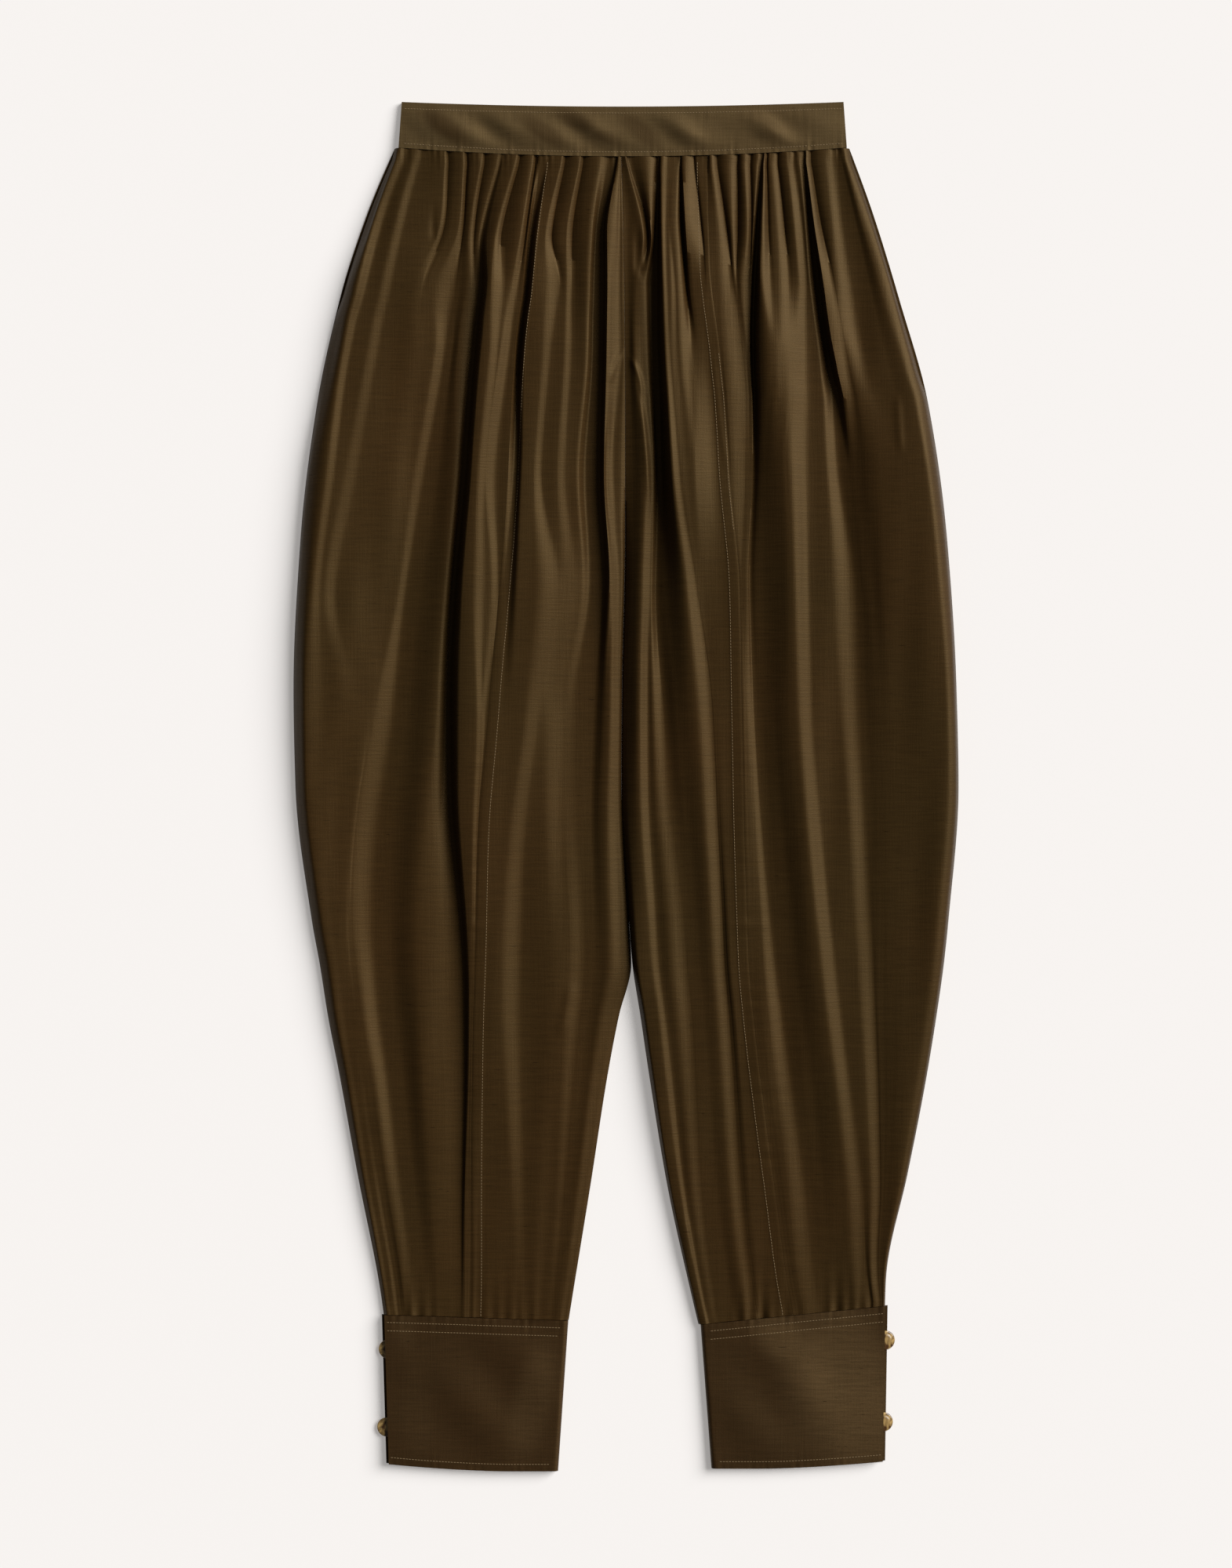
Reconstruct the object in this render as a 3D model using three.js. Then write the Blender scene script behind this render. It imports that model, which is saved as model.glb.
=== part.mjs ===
// Harem pants laid flat, face up, in millimetres. X runs across, +Y towards the waist, +Z up from the surface.
import * as THREE from "three";

// Cloth and seam sizes
const CLOTH = 1.4;
const BAND_CLOTH = 1.9;
const SEAM_GAP = 0.3;
const STEEPEST_WALL = 4;
const FLOOR_WALL = CLOTH + SEAM_GAP;

// Waistband: top edge, lower edge at the centre, and how far both ends rise above the centre
const BAND = { top: 532.5, bottom: 493.2, topRise: 3.6, bottomRise: 6.8,
  left: -175.5, right: 170.5, flare: 2.4 };
// The band's front rises a little towards the gathered seam, and soft slanting waves cross it
const BAND_RISE = 2.4;
const BAND_WAVE = { height: 1.1, length: 62, slant: 1.3, fade: 6 };
const BAND_GRID = { columns: 25, rows: 5 };

// Cuffs: the four corners of each, with the leg seam at the top and the hem at the bottom
const CUFFS = {
  left: { side: -1, outTop: -189, inTop: -45, outBottom: -185.5, inBottom: -53,
    top: -414, topIn: -418.5, hem: -536.1 },
  right: { side: 1, outTop: 203, inTop: 58.5, outBottom: 201, inBottom: 67,
    top: -407, topIn: -421.5, hem: -534 },
};
const CUFF = { wall: 1.8, hollow: 3.6, underlap: 2.2, steps: 8, rows: [0, 0.08, 0.5, 0.94, 1] };
const BUTTON = { radius: 7.5, rim: 0.9, dome: 1.6, back: 0.8, sides: 20 };
const BUTTON_PLACES = [
  { name: "button_left_upper", x: -186.2, y: -441, z: 3.2, tilt: -6 },
  { name: "button_left_lower", x: -187.4, y: -502, z: 3.2, tilt: -7 },
  { name: "button_right_upper", x: 203.4, y: -434, z: 3.2, tilt: 10 },
  { name: "button_right_lower", x: 201.9, y: -498, z: 3.2, tilt: 10 },
];

// Outline of the laid garment: a row for each level, from the waist seam to the cuff seams. The left front's
// folds follow its guide, because its inner edge turns sharply where the two legs part.
const OUTLINE = [
  { y: 500, leftOut: -178, leftIn: -3.8, leftGuide: -3.8, rightIn: -3.2, rightOut: 172.5 },
  { y: 440, leftOut: -204, leftIn: -2.6, leftGuide: -2.6, rightIn: -2.0, rightOut: 195 },
  { y: 385, leftOut: -223, leftIn: -1.4, leftGuide: -1.4, rightIn: -0.8, rightOut: 213 },
  { y: 300, leftOut: -242, leftIn: -0.9, leftGuide: -0.9, rightIn: -0.3, rightOut: 237 },
  { y: 194, leftOut: -255, leftIn: -0.9, leftGuide: -0.9, rightIn: -0.3, rightOut: 251.8 },
  { y: 77, leftOut: -260.5, leftIn: -3.2, leftGuide: -3.2, rightIn: -2.6, rightOut: 259.2 },
  { y: 0, leftOut: -259, leftIn: -3.7, leftGuide: -3.7, rightIn: -3.1, rightOut: 260.8 },
  { y: -106, leftOut: -246, leftIn: 2.2, leftGuide: -1.2, rightIn: 2.8, rightOut: 252.8 },
  { y: -139, leftOut: -240, leftIn: 4.0, leftGuide: -3.4, rightIn: 5.4, rightOut: 249.3 },
  { y: -180, leftOut: -233.5, leftIn: -5.7, leftGuide: -8.2, rightIn: 11.7, rightOut: 243.5 },
  { y: -226, leftOut: -224.5, leftIn: -14.5, leftGuide: -15, rightIn: 18.5, rightOut: 236 },
  { y: -306, leftOut: -210, leftIn: -27, leftGuide: -27, rightIn: 31.7, rightOut: 220.8 },
  { y: -397, leftOut: -192.5, leftIn: -42, leftGuide: -42, rightIn: 52.5, rightOut: 203.8 },
  { y: -422, leftOut: -189, leftIn: -46, leftGuide: -46, rightIn: 58.5, rightOut: 203 },
];

// Levels of the fold tables, from the waist seam down to the cuff seam
const LEVELS = [492, 432, 392, 340, 248, 156, 63, -152, -411];
// Neighbouring folds stay at least this share of the half apart
const LEAST_SHARE = 0.0018;

// Fold lines of each front, from the side seam to the centre: share is the place across the half
// at each level, height is the cloth's top face there. The panel seam's line is marked.
const LEFT_FOLDS = [
  { line: "side edge",
    share: [0, 0, 0, 0, 0, 0, 0, 0, 0],
    height: [3.2, 3.2, 3.2, 3.2, 3.2, 3.2, 3.2, 3.2, 3.2] },
  { line: "side roll",
    share: [0.007, 0.017, 0.011, 0.02, 0.009, 0.009, 0.012, 0.008, 0.007],
    height: [5, 7.6, 8.8, 8.8, 9.8, 9.9, 9.2, 6.3, 4.6] },
  { line: "rim a",
    share: [0.019, 0.032, 0.044, 0.054, 0.061, 0.047, 0.041, 0.036, 0.021],
    height: [7, 11.6, 14.8, 15.3, 17.3, 17.4, 16.2, 11.3, 6.6] },
  { line: "rim a foot",
    share: [0.056, 0.07, 0.079, 0.084, 0.092, 0.075, 0.093, 0.063, 0.042],
    height: [5.6, 8.9, 11.8, 12.6, 14.8, 15, 14.4, 10.6, 6] },
  { line: "rim b",
    share: [0.087, 0.112, 0.124, 0.132, 0.119, 0.087, 0.136, 0.081, 0.058],
    height: [6.4, 9.5, 12.2, 12.8, 14.6, 14.4, 13.2, 10.4, 6] },
  { line: "rim b foot",
    share: [0.125, 0.156, 0.171, 0.178, 0.165, 0.124, 0.188, 0.097, 0.083],
    height: [5.2, 7.3, 9.6, 10.2, 11.8, 11.4, 11.6, 10.2, 4.9] },
  { line: "pleat 1",
    share: [0.219, 0.285, 0.249, 0.273, 0.268, 0.184, 0.221, 0.104, 0.096],
    height: [6.6, 7.3, 9.4, 9.6, 9.4, 10.6, 10.6, 10, 4.9] },
  { line: "pleat 1 foot",
    share: [0.236, 0.306, 0.28, 0.325, 0.322, 0.286, 0.244, 0.114, 0.106],
    height: [5.2, 6.1, 9, 8.8, 7.6, 7, 10, 9.8, 5.2] },
  { line: "ridge c, pleat 2",
    share: [0.302, 0.36, 0.321, 0.36, 0.337, 0.31, 0.254, 0.123, 0.122],
    height: [6.6, 6.1, 8.8, 8.4, 7.2, 6.4, 9.6, 9.6, 6] },
  { line: "pleat 2 foot",
    share: [0.319, 0.381, 0.393, 0.398, 0.373, 0.336, 0.308, 0.185, 0.18],
    height: [5.2, 4.7, 4.4, 4.8, 4.4, 4.4, 4.4, 5, 5] },
  { line: "hollow d",
    share: [0.336, 0.39, 0.405, 0.419, 0.41, 0.377, 0.348, 0.235, 0.239],
    height: [5.8, 5.1, 4.6, 4.8, 4.6, 5.1, 5.2, 5.4, 5] },
  { line: "ridge d, pleat 3",
    share: [0.385, 0.405, 0.436, 0.441, 0.46, 0.447, 0.435, 0.326, 0.302],
    height: [6.6, 5.8, 5.8, 6.7, 7.3, 9.2, 10.2, 10.2, 5.2] },
  { line: "pleat 3 foot",
    share: [0.398, 0.426, 0.458, 0.47, 0.475, 0.461, 0.452, 0.394, 0.365],
    height: [5.2, 5, 5, 5.4, 6.4, 8, 8.5, 8.4, 5] },
  { line: "valley 1, pleat 4",
    share: [0.454, 0.444, 0.469, 0.482, 0.487, 0.473, 0.463, 0.451, 0.399],
    height: [6.6, 5.2, 4.2, 4.2, 4.2, 4.2, 4.2, 6.4, 4.9] },
  { line: "valley 1 foot",
    share: [0.471, 0.456, 0.483, 0.493, 0.497, 0.482, 0.475, 0.477, 0.416],
    height: [5.2, 4.2, 4.2, 4.2, 4.2, 4.2, 4.2, 6.2, 5] },
  { line: "valley 1 edge",
    share: [0.481, 0.478, 0.51, 0.519, 0.519, 0.506, 0.503, 0.493, 0.428],
    height: [5.8, 8, 15.4, 17.2, 18.4, 18.8, 18.8, 12.6, 5.4] },
  { line: "pleat 5",
    share: [0.537, 0.511, 0.524, 0.548, 0.539, 0.542, 0.559, 0.497, 0.437],
    height: [6.6, 10.4, 16.4, 18, 19.2, 19.8, 20, 12.9, 5.6] },
  { line: "pleat 5 foot",
    share: [0.554, 0.532, 0.568, 0.574, 0.561, 0.573, 0.574, 0.501, 0.447],
    height: [5.2, 8.8, 12.8, 15.6, 17, 17, 18.2, 13, 5.4] },
  { line: "ridge e, pleat 6",
    share: [0.609, 0.604, 0.593, 0.584, 0.565, 0.594, 0.577, 0.505, 0.456],
    height: [6.6, 11, 12.4, 15.2, 16.6, 16.6, 17.8, 13, 5.3] },
  { line: "pleat 6 foot",
    share: [0.623, 0.625, 0.621, 0.615, 0.599, 0.616, 0.593, 0.509, 0.462],
    height: [5.2, 8.8, 10, 11.6, 13.2, 14.4, 16.2, 13, 5.1] },
  { line: "seam",
    share: [0.632, 0.632, 0.635, 0.631, 0.634, 0.62, 0.597, 0.513, 0.47],
    height: [5.4, 9, 10, 11.8, 13.8, 14.3, 16.2, 13, 5.1] },
  { line: "valley 2",
    share: [0.647, 0.642, 0.647, 0.641, 0.651, 0.632, 0.613, 0.526, 0.483],
    height: [5.7, 4.4, 4.4, 4.6, 10.5, 14, 16.1, 13, 5.4] },
  { line: "valley 2 foot",
    share: [0.668, 0.648, 0.65, 0.645, 0.661, 0.651, 0.637, 0.552, 0.504],
    height: [5.8, 4.4, 4.4, 4.6, 10.4, 13.6, 16, 13, 4.9] },
  { line: "valley 2 edge",
    share: [0.689, 0.67, 0.672, 0.665, 0.676, 0.673, 0.665, 0.578, 0.554],
    height: [6, 10, 12.4, 13, 15.4, 17.4, 16, 13.1, 5.1] },
  { line: "ridge f, pleat 7",
    share: [0.737, 0.7, 0.716, 0.721, 0.713, 0.728, 0.706, 0.599, 0.702],
    height: [6.6, 10, 11.6, 12.8, 15.2, 17.2, 15.6, 13.1, 5.4] },
  { line: "pleat 7 foot",
    share: [0.754, 0.727, 0.772, 0.757, 0.742, 0.8, 0.755, 0.672, 0.756],
    height: [5.2, 7.8, 8.4, 11.2, 13.2, 12.4, 11.8, 9.4, 5.2] },
  { line: "ridge g, pleat 8",
    share: [0.817, 0.781, 0.789, 0.794, 0.784, 0.809, 0.767, 0.755, 0.798],
    height: [6.6, 9.4, 8.6, 11.4, 13.4, 11.8, 11, 10, 5.5] },
  { line: "pleat 8 foot",
    share: [0.834, 0.805, 0.814, 0.826, 0.816, 0.854, 0.817, 0.81, 0.845],
    height: [5.3, 7.2, 7, 9.6, 11.6, 8.6, 7, 9.6, 4.9] },
  { line: "ridge h, pleat 9",
    share: [0.903, 0.88, 0.875, 0.876, 0.853, 0.874, 0.831, 0.823, 0.882],
    height: [6.6, 9.6, 9, 10.6, 11.2, 7.4, 6.2, 9.6, 5] },
  { line: "valley 3",
    share: [0.917, 0.901, 0.898, 0.896, 0.882, 0.912, 0.862, 0.869, 0.904],
    height: [5.2, 4.2, 4.2, 4.2, 4.6, 4.2, 4.8, 7.6, 5] },
  { line: "valley 3 foot",
    share: [0.927, 0.919, 0.917, 0.916, 0.915, 0.933, 0.922, 0.898, 0.92],
    height: [5.2, 4.2, 4.2, 4.2, 4.2, 4.2, 4.6, 7.6, 5.2] },
  { line: "centre fold",
    share: [0.941, 0.94, 0.941, 0.94, 0.935, 0.955, 0.946, 0.919, 0.935],
    height: [5.8, 11.6, 11.8, 11.6, 11.4, 10.4, 8.6, 8.2, 5.4] },
  { line: "ridge i",
    share: [0.972, 0.97, 0.962, 0.96, 0.942, 0.965, 0.963, 0.938, 0.952],
    height: [6.8, 11.4, 11.2, 11, 11, 10.4, 9.4, 9, 5.4] },
  { line: "ridge i foot",
    share: [0.986, 0.991, 0.987, 0.989, 0.962, 0.984, 0.987, 0.971, 0.979],
    height: [5.4, 8.8, 8.6, 8, 8.6, 7.6, 6.2, 6.4, 4.4] },
  { line: "inner roll",
    share: [0.995, 0.997, 0.993, 0.995, 0.986, 0.995, 0.994, 0.986, 0.992],
    height: [6.4, 8.8, 8.6, 7.9, 8.4, 7, 5.4, 5.2, 4] },
  { line: "centre front",
    share: [1, 1, 1, 1, 1, 1, 1, 1, 1],
    height: [5.6, 8.6, 8.2, 7.6, 7.2, 3.6, 3.2, 3.2, 3.2] },
];
const RIGHT_FOLDS = [
  { line: "side edge",
    share: [0, 0, 0, 0, 0, 0, 0, 0, 0],
    height: [3.2, 3.2, 3.2, 3.2, 3.2, 3.2, 3.2, 3.2, 3.2] },
  { line: "side roll",
    share: [0.012, 0.015, 0.013, 0.019, 0.014, 0.012, 0.011, 0.012, 0.004],
    height: [5, 8.5, 10, 12, 14, 14, 13.5, 10, 5] },
  { line: "rim",
    share: [0.026, 0.05, 0.051, 0.052, 0.049, 0.045, 0.038, 0.046, 0.009],
    height: [6.4, 10.4, 12, 14.6, 20, 19.4, 17.6, 13, 5.7] },
  { line: "shelf",
    share: [0.043, 0.077, 0.091, 0.103, 0.123, 0.143, 0.133, 0.119, 0.013],
    height: [5.4, 8.6, 9.8, 12.6, 19.2, 18, 15.2, 11, 5.5] },
  { line: "ridge a foot",
    share: [0.06, 0.129, 0.155, 0.173, 0.192, 0.211, 0.2, 0.157, 0.016],
    height: [5, 7.6, 8.8, 10.8, 17.4, 15.6, 13.4, 9.8, 5.4] },
  { line: "ridge a",
    share: [0.109, 0.179, 0.214, 0.23, 0.232, 0.239, 0.228, 0.177, 0.019],
    height: [6.8, 10.6, 12.2, 14, 15, 13.2, 12, 9.2, 5.3] },
  { line: "pleat 1 foot",
    share: [0.17, 0.213, 0.222, 0.238, 0.256, 0.256, 0.246, 0.192, 0.021],
    height: [5.8, 9.2, 12.2, 14, 13, 12, 11, 8.6, 5.3] },
  { line: "pleat 1",
    share: [0.191, 0.243, 0.261, 0.279, 0.28, 0.27, 0.262, 0.205, 0.024],
    height: [6.6, 12, 15.2, 16.4, 11.4, 10.8, 10, 8.2, 5.3] },
  { line: "valley 1",
    share: [0.197, 0.251, 0.273, 0.295, 0.295, 0.279, 0.274, 0.213, 0.026],
    height: [4.9, 4.2, 4.2, 5, 10.2, 10, 9.2, 7.9, 5.2] },
  { line: "valley 1 foot",
    share: [0.203, 0.256, 0.284, 0.302, 0.322, 0.298, 0.295, 0.223, 0.029],
    height: [4.9, 4.4, 4.6, 5.4, 8.8, 9, 8.6, 7.4, 5.2] },
  { line: "ridge c",
    share: [0.222, 0.28, 0.311, 0.331, 0.363, 0.366, 0.354, 0.277, 0.062],
    height: [5.9, 7.2, 8, 9.6, 12.2, 13, 12.2, 10.4, 6.6] },
  { line: "ridge d foot",
    share: [0.243, 0.289, 0.32, 0.367, 0.418, 0.434, 0.431, 0.338, 0.078],
    height: [5.3, 6.8, 7.8, 10, 12.6, 13.2, 12.4, 10.2, 5.3] },
  { line: "ridge d, pleat 2",
    share: [0.277, 0.326, 0.355, 0.411, 0.484, 0.485, 0.481, 0.393, 0.154],
    height: [6.8, 9.6, 10.2, 14, 18.4, 18, 17, 14.6, 6.6] },
  { line: "pleat 3 lower foot",
    share: [0.315, 0.36, 0.384, 0.435, 0.496, 0.499, 0.5, 0.413, 0.187],
    height: [5.2, 7.6, 10.2, 16.4, 18.4, 17.7, 16.4, 14, 6.2] },
  { line: "pleat 3 lower",
    share: [0.349, 0.394, 0.425, 0.46, 0.513, 0.523, 0.523, 0.438, 0.228],
    height: [6, 9.8, 13, 18.4, 17.6, 16, 14.6, 12.4, 5.8] },
  { line: "pleat 3 foot",
    share: [0.36, 0.425, 0.454, 0.482, 0.533, 0.549, 0.546, 0.468, 0.266],
    height: [6, 9.8, 13.2, 19.6, 16, 13.8, 12.2, 10.2, 5.5] },
  { line: "pleat 3",
    share: [0.372, 0.452, 0.49, 0.503, 0.555, 0.575, 0.569, 0.494, 0.295],
    height: [6.9, 12.6, 16.4, 20, 13.6, 11.4, 10.2, 9, 5.3] },
  { line: "valley 2 edge",
    share: [0.376, 0.458, 0.498, 0.542, 0.577, 0.603, 0.587, 0.519, 0.32],
    height: [6.2, 12, 15.8, 16, 10.6, 9.2, 9, 7.8, 5.2] },
  { line: "valley 2",
    share: [0.38, 0.465, 0.512, 0.554, 0.588, 0.615, 0.603, 0.534, 0.345],
    height: [4.9, 4.2, 4.2, 5, 7.4, 8, 8.4, 7.2, 5.2] },
  { line: "valley 2 foot",
    share: [0.384, 0.471, 0.519, 0.559, 0.592, 0.618, 0.608, 0.539, 0.357],
    height: [4.9, 4.2, 4.2, 5, 7.2, 8, 8.4, 7.2, 5.3] },
  { line: "valley 2 lip",
    share: [0.401, 0.488, 0.53, 0.569, 0.595, 0.624, 0.616, 0.575, 0.437],
    height: [6.2, 8, 7.6, 8.8, 9.6, 12.2, 9.6, 10.2, 7.2] },
  { line: "pleat 4 foot",
    share: [0.432, 0.493, 0.535, 0.573, 0.601, 0.627, 0.62, 0.586, 0.45],
    height: [5.2, 7.6, 7.6, 8.8, 9.6, 12.3, 10.1, 10.4, 7] },
  { line: "pleat 4",
    share: [0.467, 0.513, 0.567, 0.58, 0.607, 0.63, 0.624, 0.596, 0.458],
    height: [6.8, 9.2, 9.2, 8.9, 9.6, 12.4, 10.6, 10.5, 6.8] },
  { line: "pleat 5 foot",
    share: [0.49, 0.547, 0.581, 0.586, 0.614, 0.635, 0.628, 0.604, 0.466],
    height: [5.2, 6.6, 8.6, 9, 9.6, 12.4, 11, 10.5, 6.6] },
  { line: "pleat 5",
    share: [0.535, 0.572, 0.588, 0.591, 0.618, 0.639, 0.632, 0.611, 0.475],
    height: [6.8, 8.6, 8.6, 9.1, 9.6, 12.4, 11.3, 10.5, 6.5] },
  { line: "pleat 6 foot",
    share: [0.583, 0.588, 0.596, 0.596, 0.622, 0.642, 0.636, 0.616, 0.481],
    height: [5.3, 7, 8.6, 9.2, 9.7, 12.4, 11.6, 10.5, 6.4] },
  { line: "pleat 6",
    share: [0.613, 0.625, 0.645, 0.661, 0.663, 0.646, 0.64, 0.621, 0.487],
    height: [6.8, 9.6, 12, 13.6, 12, 12.4, 11.8, 10.5, 6.4] },
  { line: "seam",
    share: [0.623, 0.662, 0.677, 0.672, 0.67, 0.649, 0.644, 0.626, 0.495],
    height: [5, 9.2, 12, 13.6, 12.2, 12.4, 11.8, 10.5, 6.4] },
  { line: "pleat 7 foot",
    share: [0.683, 0.689, 0.7, 0.715, 0.715, 0.692, 0.693, 0.667, 0.6],
    height: [5.3, 9, 12, 13.4, 13.6, 12.4, 11.4, 10.2, 6] },
  { line: "pleat 7",
    share: [0.735, 0.753, 0.758, 0.745, 0.75, 0.733, 0.709, 0.683, 0.641],
    height: [6.8, 13, 12, 13.6, 16.4, 13.2, 11.4, 10.2, 6] },
  { line: "pleat 7 edge",
    share: [0.743, 0.766, 0.77, 0.766, 0.77, 0.752, 0.721, 0.693, 0.662],
    height: [4.9, 5.2, 7.6, 13.6, 18, 13.5, 11.4, 9.4, 5.9] },
  { line: "ridge j foot",
    share: [0.75, 0.783, 0.784, 0.781, 0.78, 0.762, 0.725, 0.696, 0.673],
    height: [4.9, 11.4, 12.9, 14.6, 18.8, 13.6, 11.4, 8.8, 5.6] },
  { line: "ridge j",
    share: [0.766, 0.803, 0.805, 0.811, 0.79, 0.768, 0.728, 0.699, 0.679],
    height: [5.1, 12.3, 14.5, 17.2, 19, 13.7, 11.4, 8.5, 5.5] },
  { line: "ridge m foot",
    share: [0.776, 0.813, 0.812, 0.82, 0.805, 0.773, 0.73, 0.701, 0.683],
    height: [5.2, 12.3, 14.5, 17.2, 19.2, 13.8, 11.4, 8.3, 5.4] },
  { line: "ridge m",
    share: [0.787, 0.822, 0.829, 0.839, 0.822, 0.778, 0.731, 0.703, 0.687],
    height: [5.3, 12.4, 15.6, 18, 19.8, 13.9, 11.3, 8.1, 5.4] },
  { line: "ridge e foot",
    share: [0.797, 0.83, 0.841, 0.845, 0.83, 0.782, 0.733, 0.705, 0.693],
    height: [5.4, 12.4, 15.6, 18.1, 20, 14, 11.3, 8, 5.4] },
  { line: "ridge e, pleat 8",
    share: [0.829, 0.85, 0.858, 0.862, 0.852, 0.815, 0.777, 0.744, 0.742],
    height: [6.9, 13.6, 16.6, 19, 22, 17.6, 15.6, 10.8, 6.6] },
  { line: "valley 3",
    share: [0.836, 0.865, 0.88, 0.889, 0.886, 0.877, 0.84, 0.787, 0.808],
    height: [4.9, 4.2, 4.2, 4.2, 4.4, 8.4, 10.5, 9.4, 5.2] },
  { line: "valley 3 foot",
    share: [0.841, 0.874, 0.9, 0.905, 0.896, 0.906, 0.877, 0.82, 0.879],
    height: [4.9, 4.2, 4.2, 4.2, 4.2, 5.4, 7.2, 9.1, 5.2] },
  { line: "pleat 9 foot",
    share: [0.847, 0.879, 0.906, 0.91, 0.902, 0.909, 0.882, 0.828, 0.891],
    height: [5, 7.6, 4.4, 4.4, 4.8, 6.2, 7.4, 9, 5.2] },
  { line: "pleat 9",
    share: [0.907, 0.891, 0.92, 0.922, 0.911, 0.918, 0.91, 0.879, 0.925],
    height: [7.4, 10.4, 8, 8, 9.8, 9.8, 10.2, 11.4, 5.8] },
  { line: "ridge n foot",
    share: [0.916, 0.903, 0.938, 0.944, 0.916, 0.924, 0.922, 0.912, 0.942],
    height: [4.9, 5.4, 9.2, 9.2, 10.2, 10.2, 9.4, 10.2, 5.8] },
  { line: "ridge n",
    share: [0.976, 0.926, 0.958, 0.968, 0.939, 0.95, 0.95, 0.943, 0.963],
    height: [7.4, 10.4, 9.6, 10.2, 13.2, 13.2, 12.6, 12.6, 7] },
  { line: "inner roll",
    share: [0.99, 0.985, 0.99, 0.987, 0.979, 0.982, 0.983, 0.985, 0.992],
    height: [6.6, 8.4, 8.2, 8, 8.8, 8.4, 7, 12, 6.2] },
  { line: "centre front",
    share: [1, 1, 1, 1, 1, 1, 1, 1, 1],
    height: [5.8, 8.6, 8.2, 7.6, 6.6, 3.6, 3.2, 3.2, 3.2] },
];

// Rows of each front, closer where the pleats open and at the cuff
const ROW_LEVELS = [492.6, 484, 470, 452, 432, 412, 392, 366, 340, 310, 280, 248, 205, 156, 110, 63, 12, -40, -92,
  -140, -175, -215, -260, -305, -345, -380, -405, -416];
// Levels from which the rows bend towards the curved waist seam and the slanted cuff seams
const WAIST_SHIFT_FROM = 340;
const CUFF_SHIFT_FROM = -260;
// The side pocket: the front's edge stands back from the back panel between its two ends
const POCKET = { top: 482, left: 362, right: 300, set: 1.8, topFade: 12, lowFade: 25 };
// The shortest run taken when the slope between two folds is worked out
const LEAST_RUN = 0.5;
const BACK_COLUMNS = 7;
// How quickly the folds next to the inner edge leave the guide for the edge itself
const GUIDE_POWER = 8;

const CLOTH_LOOK = { color: 0x4a3822, roughness: 0.42, metalness: 0 };
const BACK_LOOK = { color: 0x35280f, roughness: 0.5, metalness: 0 };
const BUTTON_LOOK = { color: 0x8a6a32, roughness: 0.25, metalness: 0 };

// The outline columns that each half runs between
const LEFT = { outer: "leftOut", inner: "leftIn", guide: "leftGuide" };
const RIGHT = { outer: "rightOut", inner: "rightIn", guide: "rightIn" };

const pants = new THREE.Group();

function addPiece(name, geometry, look) {
  const mesh = new THREE.Mesh(geometry, new THREE.MeshStandardMaterial(look));
  mesh.name = name;
  pants.add(mesh);
  return mesh;
}

// A smooth curve through (x, y) pairs that never overshoots them
function smoothCurve(xs, ys) {
  const order = xs.map((_, i) => i).sort((a, b) => xs[a] - xs[b]);
  const x = order.map((i) => xs[i]);
  const y = order.map((i) => ys[i]);
  const last = x.length - 1;
  const step = x.slice(1).map((v, i) => v - x[i]);
  const rise = step.map((h, i) => (y[i + 1] - y[i]) / h);
  const slope = y.map((_, i) => {
    if (i === 0) return rise[0];
    if (i === last) return rise[last - 1];
    if (rise[i - 1] * rise[i] <= 0) return 0;
    const a = 2 * step[i] + step[i - 1];
    const b = step[i] + 2 * step[i - 1];
    return (a + b) / (a / rise[i - 1] + b / rise[i]);
  });
  return (at) => {
    const v = Math.min(Math.max(at, x[0]), x[last]);
    let i = 0;
    while (i < last - 1 && v > x[i + 1]) i += 1;
    const t = (v - x[i]) / step[i];
    const s = 1 - t;
    return y[i] * (1 + 2 * t) * s * s + y[i + 1] * t * t * (3 - 2 * t)
      + step[i] * (slope[i] * t * s * s - slope[i + 1] * t * t * s);
  };
}

const outline = {};
for (const column of ["leftOut", "leftIn", "leftGuide", "rightIn", "rightOut"]) {
  outline[column] = smoothCurve(OUTLINE.map((row) => row.y), OUTLINE.map((row) => row[column]));
}

const clamp = (v, low, high) => Math.min(Math.max(v, low), high);
const smoothStep = (v, from, to) => {
  const t = clamp((v - from) / (to - from), 0, 1);
  return t * t * (3 - 2 * t);
};

// The waist seam and the cuff seams aren't level: each row is shifted to follow them at its ends
const halfWaist = (BAND.right - BAND.left) / 2;
const waistSeam = (x) => {
  const across = (x - (BAND.left + BAND.right) / 2) / (halfWaist + BAND.flare);
  return BAND.bottom + BAND.bottomRise * Math.min(across ** 2, 1);
};
function cuffSeam(cuff, x) {
  const t = (x - cuff.outTop) / (cuff.inTop - cuff.outTop);
  return cuff.top + (cuff.topIn - cuff.top) * clamp(t, 0, 1);
}
function rowY(level, x, cuff) {
  const [top] = ROW_LEVELS;
  const bottom = ROW_LEVELS[ROW_LEVELS.length - 1];
  const nearWaist = smoothStep(level, WAIST_SHIFT_FROM, top);
  const nearCuff = smoothStep(level, CUFF_SHIFT_FROM, bottom);
  const toWaist = (waistSeam(x) - SEAM_GAP - top) * nearWaist;
  const toCuff = (cuffSeam(cuff, x) + SEAM_GAP - bottom) * nearCuff;
  return level + toWaist + toCuff;
}

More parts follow.
